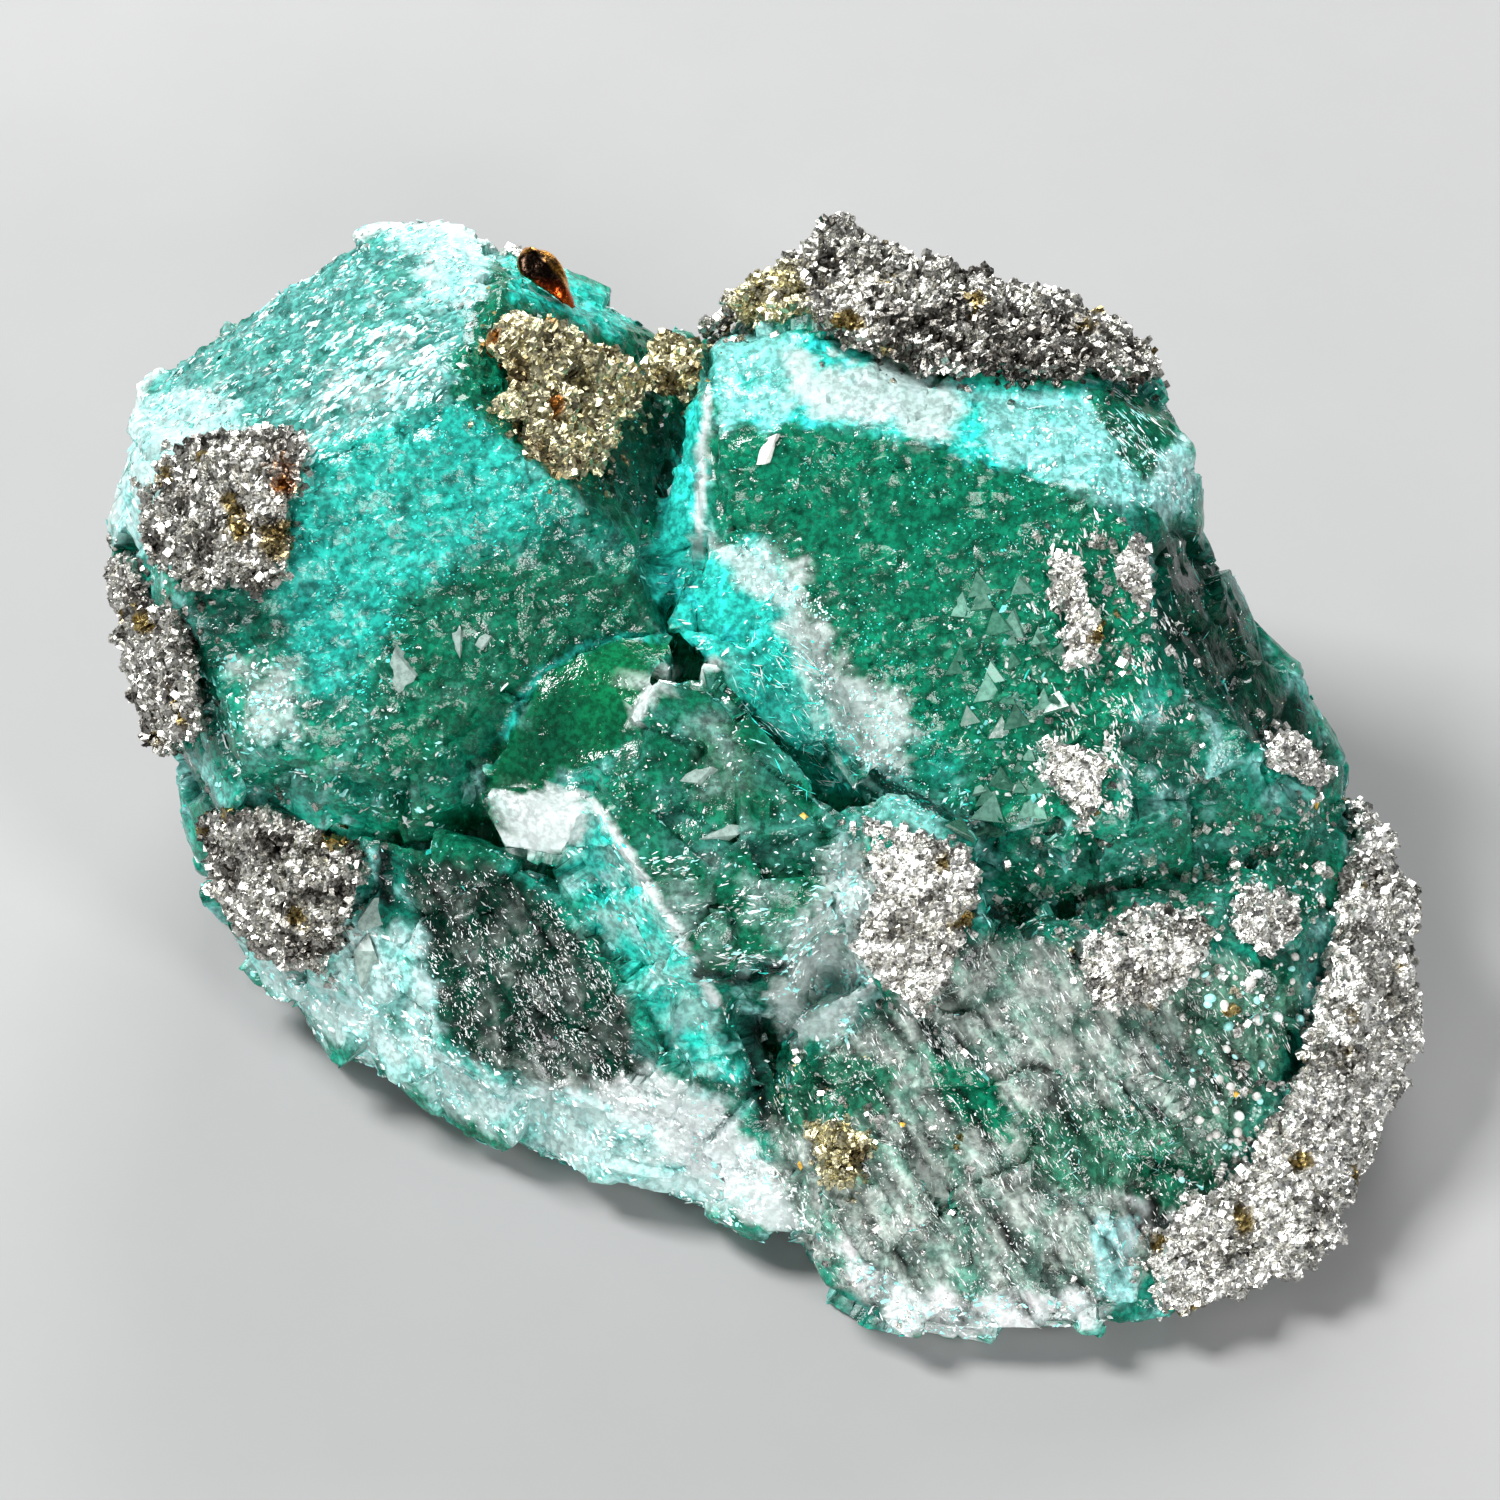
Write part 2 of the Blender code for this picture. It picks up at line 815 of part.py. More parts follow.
def inside_outline(point, outline):
    """Whether a flat point is inside a closed outline, by counting crossings."""
    inside = False
    for (x1, y1), (x2, y2) in zip(outline, outline[1:] + outline[:1]):
        if (y1 > point[1]) != (y2 > point[1]):
            inside ^= point[0] < x1 + (point[1] - y1) * (x2 - x1) / (y2 - y1)
    return inside


def lump_height(spot, thickness, peaks):
    """How far a crust rises over its crystal, with rounded lumps and a few broad peaks."""
    near = noise.voronoi(spot / LUMP_SIZE)[0][0]
    height = thickness * (LUMP_TOP - LUMP_FALL * near) + WAVE_RISE * noise.noise(spot * WAVE_RATE)
    for centre, radius, rise in peaks:
        height += rise * math.exp(-(((spot - face(*centre)).length / radius) ** 2))
    return max(height, THINNEST * thickness)


def outline_corner(corner, surface):
    """A corner of an outline, taken to the surface where only its place on the best side is given."""
    if len(corner) == 3:
        return face(*corner)
    u, v = corner
    hit = surface.ray_cast(face(u, v, FRONT_CLEAR) * MM, -facing(0, 0, 1))[0]
    return hit / MM


def even_outline(corners, spacing):
    """The outline's corners, with points between those that are far apart."""
    points = []
    for one, two in zip(corners, corners[1:] + corners[:1]):
        pieces = max(1, round((two - one).length / spacing))
        points.extend(one.lerp(two, number / pieces) for number in range(pieces))
    return points


def filled_outline(corners, spacing):
    """Flat points and triangles that fill an outline with an even grid."""
    edge = even_outline(corners, spacing)
    low = Vector((min(p.x for p in edge), min(p.y for p in edge)))
    high = Vector((max(p.x for p in edge), max(p.y for p in edge)))
    row_height = spacing * math.sqrt(0.75)
    points = list(edge)
    for row in range(int((high.y - low.y) / row_height) + 1):
        for column in range(int((high.x - low.x) / spacing) + 1):
            spot = Vector((low.x + (column + 0.5 * (row % 2)) * spacing, low.y + row * row_height))
            clear = min((spot - point).length for point in edge) > 0.6 * spacing
            if clear and inside_outline(spot, edge):
                points.append(spot)
    ring = list(range(len(edge)))
    made = geometry.delaunay_2d_cdt(points, [], [ring], 1, 1e-5)
    return made[0], made[2]


def cast_inward(flat, middle, levels, axes, surface):
    """The surface point under a flat point, which moves towards the middle until it is over it."""
    right, up, out = axes
    lowest, highest = levels
    for share in range(20):
        spot = flat.lerp(middle, 0.05 * share)
        start = right * spot.x + up * spot.y + out * (highest + CAST_HEIGHT)
        hit = surface.ray_cast(start * MM, -out)[0]
        if hit and hit.dot(out) > (lowest - CAST_DEPTH) * MM:
            return hit / MM
    raise ValueError("an outline lies off the crystal")


def crust(name, toward, outline, thickness, peaks, surface):
    """A lumpy crust over the crystal, inside an outline, before its underside is cut clear."""
    out = facing(*toward)
    right = (Vector((1, 0, 0)) - out * out.x).normalized()
    up = out.cross(right)
    corners = [outline_corner(corner, surface) for corner in outline]
    flat = [Vector((corner.dot(right), corner.dot(up))) for corner in corners]
    levels = (min(corner.dot(out) for corner in corners), max(corner.dot(out) for corner in corners))
    middle = sum(flat, Vector((0, 0))) / len(flat)
    wide = max((corner - middle).length for corner in flat) > WIDE_CRUST
    points, triangles = filled_outline(flat, CRUST_GRID if wide else SMALL_CRUST_GRID)
    bm = bmesh.new()
    tops, roots = [], []
    for point in points:
        spot = cast_inward(point, middle, levels, (right, up, out), surface)
        rise = GAP + lump_height(spot, thickness, peaks)
        tops.append(bm.verts.new((spot + out * rise) * MM))
        roots.append(bm.verts.new((spot - out * CRUST_ROOT) * MM))
    uses = {}
    for triangle in triangles:
        bm.faces.new([tops[corner] for corner in triangle])
        bm.faces.new([roots[corner] for corner in reversed(triangle)])
        for one, two in zip(triangle, triangle[1:] + triangle[:1]):
            uses[one, two] = True
    for one, two in uses:
        if (two, one) not in uses:
            bm.faces.new((tops[two], tops[one], roots[one], roots[two]))
    bmesh.ops.recalc_face_normals(bm, faces=bm.faces)
    bmesh.ops.triangulate(bm, faces=bm.faces)
    return add_object(name, bm)


def grain(name, place, sizes, turn, surface):
    """A single rounded grain with a lumpy skin, sunk a little into the crystal."""
    spot = outline_corner(place, surface)
    bm = bmesh.new()
    bmesh.ops.create_icosphere(bm, subdivisions=3, radius=1.0)
    for vert in bm.verts:
        near = noise.voronoi(vert.co * GRAIN_LUMPS + spot)[0][0]
        vert.co *= GRAIN_TOP - GRAIN_FALL * near
    side = Matrix.Rotation(math.pi / 2 - LEAN, 4, "X")
    turned = side @ Matrix.Rotation(math.radians(turn), 4, "Z")
    size = Matrix.Diagonal((*(half * MM for half in sizes), 1.0))
    centre = spot + facing(0, 0, 1) * sizes[2] * (1 - 2 * GRAIN_SINK)
    bmesh.ops.transform(bm, matrix=Matrix.Translation(centre * MM) @ turned @ size, verts=bm.verts)
    return add_object(name, bm)


def keep_largest(obj):
    """Drops the crumbs that a cut leaves beside the main body."""
    bm = bmesh.new()
    bm.from_mesh(obj.data)
    bmesh.ops.remove_doubles(bm, verts=bm.verts, dist=0.00001)
    unseen = set(bm.verts)
    groups = []
    while unseen:
        group, edge_of = set(), [unseen.pop()]
        while edge_of:
            vert = edge_of.pop()
            group.add(vert)
            for edge in vert.link_edges:
                other = edge.other_vert(vert)
                if other in unseen:
                    unseen.discard(other)
                    edge_of.append(other)
        groups.append(group)
    groups.sort(key=len)
    for group in groups[:-1]:
        bmesh.ops.delete(bm, geom=list(group), context="VERTS")
    bm.to_mesh(obj.data)
    bm.free()


def add_material(obj, look):
    colour, roughness, metallic = look
    material = bpy.data.materials.new(obj.name)
    material.use_nodes = True
    shader = material.node_tree.nodes["Principled BSDF"]
    shader.inputs["Base Color"].default_value = colour
    shader.inputs["Roughness"].default_value = roughness
    shader.inputs["Metallic"].default_value = metallic
    obj.data.materials.clear()
    obj.data.materials.append(material)


def clear_of_crystals(body, clearance, ground):
    """Cuts the crystals, grown by the clearance, and the ground out of a body."""
    boolean(body, clearance, "DIFFERENCE")
    boolean(body, ground, "DIFFERENCE")
    settle(body)
    keep_largest(body)
    add_material(body, CRUST_LOOKS.get(body.name, PYRITE_LOOK))


def main():
    clear_scene()
    fluorite = grow_crystals("fluorite", 0.0)
    cut_crystals(fluorite)
    keep_largest(fluorite)
    add_material(fluorite, FLUORITE_LOOK)
    surface = surface_of(fluorite)
    clearance = grow_crystals("clearance", GAP)
    ground = ground_cutter()
    for name, *form in CRUSTS:
        clear_of_crystals(crust(name, *form, surface), clearance, ground)
    for name, *form in GRAINS:
        clear_of_crystals(grain(name, *form, surface), clearance, ground)
    remove_helpers()


main()
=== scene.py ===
"""Looks of the green fluorite with pyrite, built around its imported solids.

The fluorite's solid is remeshed finely, roughened face by face, painted and given a see-through
green material. Flakes, specks, scratches, beads, growth plates and chips of fluorite lie on it.
Each pyrite crust is rebuilt as a faceted bed with many small joined crystals on it and some strays
beside it, and loose pyrite grains lie between the crusts.
Places are named in the frame of the specimen's best side: u to the right, v up along the side and
w out of it, in millimetres. Places found on the photograph are pixels of its 1500 x 1500 frame.
"""

import math

import bmesh
import bpy
import numpy as np
from mathutils import Matrix, Vector, noise
from mathutils.bvhtree import BVHTree
from mathutils.kdtree import KDTree


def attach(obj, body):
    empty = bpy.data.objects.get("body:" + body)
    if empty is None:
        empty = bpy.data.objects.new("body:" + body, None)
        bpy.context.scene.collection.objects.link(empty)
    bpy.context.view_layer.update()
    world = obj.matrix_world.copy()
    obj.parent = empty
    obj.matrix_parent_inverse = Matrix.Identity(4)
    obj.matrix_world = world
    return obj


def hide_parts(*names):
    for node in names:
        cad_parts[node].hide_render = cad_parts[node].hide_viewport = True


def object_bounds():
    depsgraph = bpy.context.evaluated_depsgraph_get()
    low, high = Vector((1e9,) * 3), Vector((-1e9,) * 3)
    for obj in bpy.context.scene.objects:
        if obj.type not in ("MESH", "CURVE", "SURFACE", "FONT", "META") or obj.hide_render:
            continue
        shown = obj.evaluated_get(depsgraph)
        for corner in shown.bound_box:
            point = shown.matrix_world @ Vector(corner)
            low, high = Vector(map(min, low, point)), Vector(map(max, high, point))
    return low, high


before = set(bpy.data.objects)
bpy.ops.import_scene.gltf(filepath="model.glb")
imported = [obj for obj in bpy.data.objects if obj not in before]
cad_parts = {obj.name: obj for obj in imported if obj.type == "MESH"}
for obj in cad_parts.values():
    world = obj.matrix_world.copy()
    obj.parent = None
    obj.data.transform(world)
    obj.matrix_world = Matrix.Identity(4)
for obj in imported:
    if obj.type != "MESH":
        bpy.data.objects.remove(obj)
CAD_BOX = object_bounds()

MM = 0.001
LEAN = math.radians(50.0)  # how far the best side's normal rises above the horizontal
SIDE_ORIGIN = np.array((-0.1, 0.45, 13.0))  # the side frame's origin, in millimetres
PIXEL = 0.045  # millimetres on the best side for a pixel of the photograph
PHOTO_ORIGIN = (760.0, 770.0)  # the pixel at the side frame's origin
EDGE_MARGIN = 0.01 * MM  # detail stays this far inside the box of the solids
random = np.random.default_rng(7)

RIGHT = np.array((1.0, 0.0, 0.0))
UP = np.array((0.0, math.sin(LEAN), math.cos(LEAN)))
OUT = np.array((0.0, -math.cos(LEAN), math.sin(LEAN)))

# Turns a cell's centre into three leans and a height that look random
CELL_MIXING = np.array((
    (12.99, 78.23, 37.72), (93.99, 67.35, 11.14), (43.33, 93.53, 52.46), (54.47, 45.88, 31.32),
))
CELL_SCRAMBLE = 437.58


# Frames and fields

def side_point(u, v, w):
    """A point of the side frame as a vector in the model's frame, in metres."""
    return Vector((SIDE_ORIGIN + u * RIGHT + v * UP + w * OUT) * MM)


def to_side(points):
    """Model points in metres as (u, v, w) in millimetres."""
    local = points / MM - SIDE_ORIGIN
    return np.stack((local @ RIGHT, local @ UP, local @ OUT), axis=1)


def on_photo(pixels):
    """Pixels of the photograph, as x, y, x, y and so on, as (u, v) on the best side."""
    return (np.reshape(pixels, (-1, 2)) - PHOTO_ORIGIN) * (PIXEL, -PIXEL)


def waves(points, size, shift=0.0):
    """Smooth noise from about -1 to 1 at points in millimetres, with bumps of a size."""
    return np.array([noise.noise(p) for p in (points / size + shift).tolist()])


def wander(spots, size, one, two):
    """Two fields of noise side by side, which make the edges of areas ragged."""
    return np.stack((waves(spots, size, one), waves(spots, size, two)), axis=1)


def squeezed(spots, turn, stretch):
    """Places squeezed along one direction of the best side, so that noise runs into streaks."""
    turn = math.radians(turn)
    along = spots[:, 0] * math.cos(turn) + spots[:, 1] * math.sin(turn)
    across = spots[:, 1] * math.cos(turn) - spots[:, 0] * math.sin(turn)
    return np.stack((along / stretch, across, spots[:, 2]), axis=1)


def facets(spots, size, shift=0.0):
    """Heights of flat facets that lean each its own way, and how far off their borders are."""
    places = spots / size + shift
    found = [noise.voronoi(place) for place in places.tolist()]
    centres = np.round([near[0][:] for _, near in found], 3)
    border = np.array([gaps[1] - gaps[0] for gaps, _ in found])
    lean = np.modf(np.abs(np.sin(centres @ CELL_MIXING.T)) * CELL_SCRAMBLE)[0] * 2 - 1
    rise = ((places - centres) * lean[:, :3]).sum(axis=1) + 0.4 * lean[:, 3]
    return rise * size, border


def between(limits, share):
    return limits[0] + (limits[1] - limits[0]) * share


def smooth(low, high, values):
    """From 0 at the low value to 1 at the high one, easing in and out."""
    share = np.clip((values - low) / (high - low), 0.0, 1.0)
    return share * share * (3 - 2 * share)


def area(uv, name, blur):
    """How far points lie inside a named area: 1 inside, 0 outside, blurred in mm."""
    corners = on_photo(AREAS[name])
    near = ((uv > corners.min(axis=0) - blur) & (uv < corners.max(axis=0) + blur)).all(axis=1)
    share = np.zeros(len(uv))
    share[near] = inside_share(uv[near], corners, blur)
    return share


def edge_gap(uv, start, end):
    """How far points lie from the straight line between two corners."""
    step = end - start
    along = np.clip(((uv - start) @ step) / (step @ step), 0.0, 1.0)
    return np.linalg.norm(uv - start - along[:, None] * step, axis=1)


def inside_share(uv, corners, blur):
    inside = np.zeros(len(uv), bool)
    nearest = np.full(len(uv), 1e9)
    for start, end in zip(corners, np.roll(corners, -1, axis=0)):
        nearest = np.minimum(nearest, edge_gap(uv, start, end))
        step = end - start
        crosses = (start[1] > uv[:, 1]) != (end[1] > uv[:, 1])
        rise = np.where(abs(step[1]) < 1e-9, 1e-9, step[1])
        inside ^= crosses & (uv[:, 0] < start[0] + (uv[:, 1] - start[1]) * step[0] / rise)
    return smooth(-blur, blur, np.where(inside, nearest, -nearest))


def stroke(uv, line, width):
    """How close points lie to a line on the photograph: 1 on it, 0 past its width in mm."""
    near = np.zeros(len(uv))
    corners = on_photo(line)
    for start, end in zip(corners, corners[1:]):
        near = np.maximum(near, 1 - smooth(0.3 * width, width, edge_gap(uv, start, end)))
    return near


# Meshes

def mesh_arrays(mesh):
    """A mesh's points, normals and triangles."""
    mesh.calc_loop_triangles()
    wanted = (
        (mesh.vertices, "co", float), (mesh.vertex_normals, "vector", float),
        (mesh.loop_triangles, "vertices", np.int32),
    )
    arrays = []
    for items, key, kind in wanted:
        arrays.append(np.empty(len(items) * 3, kind))
        items.foreach_get(key, arrays[-1])
    return [array.reshape(-1, 3) for array in arrays]


def in_box(points):
    low, high = (np.array(corner) for corner in CAD_BOX)
    return np.clip(points, low + (EDGE_MARGIN, EDGE_MARGIN, 0), high - EDGE_MARGIN)


def set_points(mesh, points):
    mesh.vertices.foreach_set("co", in_box(points).ravel())
    mesh.update()


def linked(name, data):
    obj = bpy.data.objects.new(name, data)
    bpy.context.scene.collection.objects.link(obj)
    return obj


def changed(obj, kind, **settings):
    """Applies one modifier to the object's mesh."""
    modifier = obj.modifiers.new(kind, kind)
    for key, value in settings.items():
        setattr(modifier, key, value)
    graph = bpy.context.evaluated_depsgraph_get()
    mesh = bpy.data.meshes.new_from_object(obj.evaluated_get(graph))
    obj.modifiers.clear()
    obj.data = mesh


def remeshed(name, node, voxel):
    """A new object with the node's solid as an even, fine mesh."""
    obj = linked(name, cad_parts[node].data.copy())
    changed(obj, "REMESH", mode="VOXEL", voxel_size=voxel * MM)
    return obj


def store_tint(obj, colours, frost=1.0):
    """Stores each point's colour, with its frost in the fourth channel."""
    tint = obj.data.attributes.new("tint", "FLOAT_COLOR", "POINT")
    full = np.empty((len(colours), 4), np.float32)
    full[:, :3] = np.clip(colours, 0, 1)
    full[:, 3] = np.clip(frost, 0, 1)
    tint.data.foreach_set("color", full.ravel())


def blended(colours, share, target):
    share = np.clip(share, 0.0, 1.0)[:, None]
    return colours * (1 - share) + np.array(target) * share


def finish_piece(obj, material, node=None):
    obj.data.materials.clear()
    obj.data.materials.append(material)
    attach(obj, "root")
    if node:
        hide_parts(node)


def add_piece(name, parts, material, node=None):
    """A flat-shaded piece, joined from several (points, triangles, colours)."""
    offsets = np.cumsum([0] + [len(part[0]) for part in parts[:-1]])
    points = np.concatenate([part[0] for part in parts])
    triangles = np.concatenate([part[1] + offset for part, offset in zip(parts, offsets)])
    mesh = bpy.data.meshes.new(name)
    mesh.from_pydata(in_box(points).tolist(), [], triangles.tolist())
    obj = linked(name, mesh)
    store_tint(obj, np.concatenate([part[2] for part in parts]))
    finish_piece(obj, material, node)


# Materials

class Nodes:
    """A material's node tree, with short ways to add to it."""

    def __init__(self, name):
        self.material = bpy.data.materials.new(name)
        self.material.use_nodes = True
        self.tree = self.material.node_tree
        self.shader = self.tree.nodes["Principled BSDF"]
        self.output = self.tree.nodes["Material Output"]
        self.place = self.add("TexCoord", {}).outputs["Object"]

    def fill(self, node, inputs):
        """Links or sets a node's inputs."""
        for key, value in inputs.items():
            if isinstance(value, bpy.types.NodeSocket):
                self.tree.links.new(value, node.inputs[key])
            else:
                node.inputs[key].default_value = value

    def add(self, kind, inputs, **settings):
        node = self.tree.nodes.new("ShaderNode" + kind)
        for key, value in settings.items():
            setattr(node, key, value)
        self.fill(node, inputs)
        return node

    def noise(self, size, detail=3.0):
        """Noise from 0 to 1 whose bumps have a size in millimetres."""
        inputs = {"Vector": self.place, "Scale": 1 / (size * MM), "Detail": detail, "Roughness": 0.6}
        return self.add("TexNoise", inputs).outputs["Fac"]

    def tint(self):
        """The colour and the frost stored on the mesh."""
        outputs = self.add("VertexColor", {}, layer_name="tint").outputs
        return outputs["Color"], outputs["Alpha"]

    def math(self, operation, one, two):
        return self.add("Math", {0: one, 1: two}, operation=operation).outputs[0]

    def ramp(self, value, low, high, to_low=0.0, to_high=1.0):
        inputs = {"Value": value, "From Min": low, "From Max": high, "To Min": to_low, "To Max": to_high}
        return self.add("MapRange", inputs, interpolation_type="SMOOTHSTEP").outputs["Result"]

    def mix(self, share, one, two):
        """One colour passing into another by a share."""
        return self.add("Mix", {0: share, 6: one, 7: two}, data_type="RGBA").outputs[2]

    def scaled(self, colour, factor):
        return self.add("VectorMath", {0: colour, "Scale": factor}, operation="SCALE").outputs[0]

    def bump(self, height, strength, depth):
        inputs = {"Height": height, "Strength": strength, "Distance": depth * MM}
        return self.add("Bump", inputs).outputs[0]

    def set(self, **inputs):
        """Fills the shader, whose inputs are named with underscores for spaces."""
        self.fill(self.shader, {key.replace("_", " "): value for key, value in inputs.items()})


ABSORBED = (0.20, 0.84, 0.78, 1.0)
ABSORPTION_PER_METRE = 450.0
FLUORITE_IOR = 1.434
# White of the painted glints on the frosted skin
FROST_GLINT = (0.85, 0.98, 0.95, 1.0)


def fluorite_material():
    """Green fluorite: see-through, frosted by a fine etched skin, darker where it is thick, with painted
    light, shade and glints on its fine bumps.
    """
    nodes = Nodes("fluorite")
    tint, frost = nodes.tint()
    grain = nodes.noise(0.3, 2.0)
    # Painted light and shade on the fine bumps: the colour is lighter on the tops of the bump noise and
    # darker in its hollows, less so where the skin is frosted.
    calm = nodes.ramp(frost, 0.3, 1.0, 1.0, 0.3)
    bump_light_and_shade = nodes.math("MULTIPLY", nodes.ramp(grain, 0.34, 0.68, -0.42, 0.42), calm)
    scales = nodes.scaled(tint, nodes.math("ADD", bump_light_and_shade, 1.0))
    # Painted glints: white specks on the highest tops of the bump noise, more of them where the skin is
    # frosted.
    frost_glints = nodes.ramp(nodes.math("ADD", grain, nodes.math("MULTIPLY", frost, 0.15)), 0.80, 0.87)
    nodes.set(
        Base_Color=nodes.mix(frost_glints, scales, FROST_GLINT),
        Roughness=nodes.ramp(frost, 0.0, 1.0, 0.14, 0.5),
        Normal=nodes.bump(grain, 0.6, 0.09),
        Specular_IOR_Level=0.3,
        Transmission_Weight=0.5,
        IOR=FLUORITE_IOR,
    )
    absorption = nodes.add("VolumeAbsorption", {"Color": ABSORBED, "Density": ABSORPTION_PER_METRE})
    nodes.fill(nodes.output, {"Volume": absorption.outputs[0]})
    return nodes.material


def flake_material(name):
    """Loose and half-grown flakes of fluorite, too thin and frosted to see through."""
    nodes = Nodes(name)
    grain = nodes.noise(0.25, 2.0)
    nodes.set(
        Base_Color=nodes.scaled(nodes.tint()[0], nodes.ramp(grain, 0.3, 0.7, 0.75, 1.15)),
        Roughness=nodes.ramp(grain, 0.3, 0.7, 0.18, 0.4),
        IOR=FLUORITE_IOR,
    )
    return nodes.material


def pyrite_material(name, roughness):
    """Pyrite: metal that takes its tint from the mesh, with finely pitted and smooth spots."""
    nodes = Nodes(name)
    grain = nodes.noise(0.14, 2.0)
    nodes.set(
        Base_Color=nodes.scaled(nodes.tint()[0], nodes.ramp(grain, 0.35, 0.65, 0.7, 1.2)),
        Metallic=1.0,
        Roughness=nodes.ramp(grain, 0.3, 0.7, roughness, roughness + 0.2),
        Normal=nodes.bump(grain, 0.5, 0.04),
    )
    return nodes.material


# Areas of the specimen, as outlines on the photograph: x, y, x, y and so on

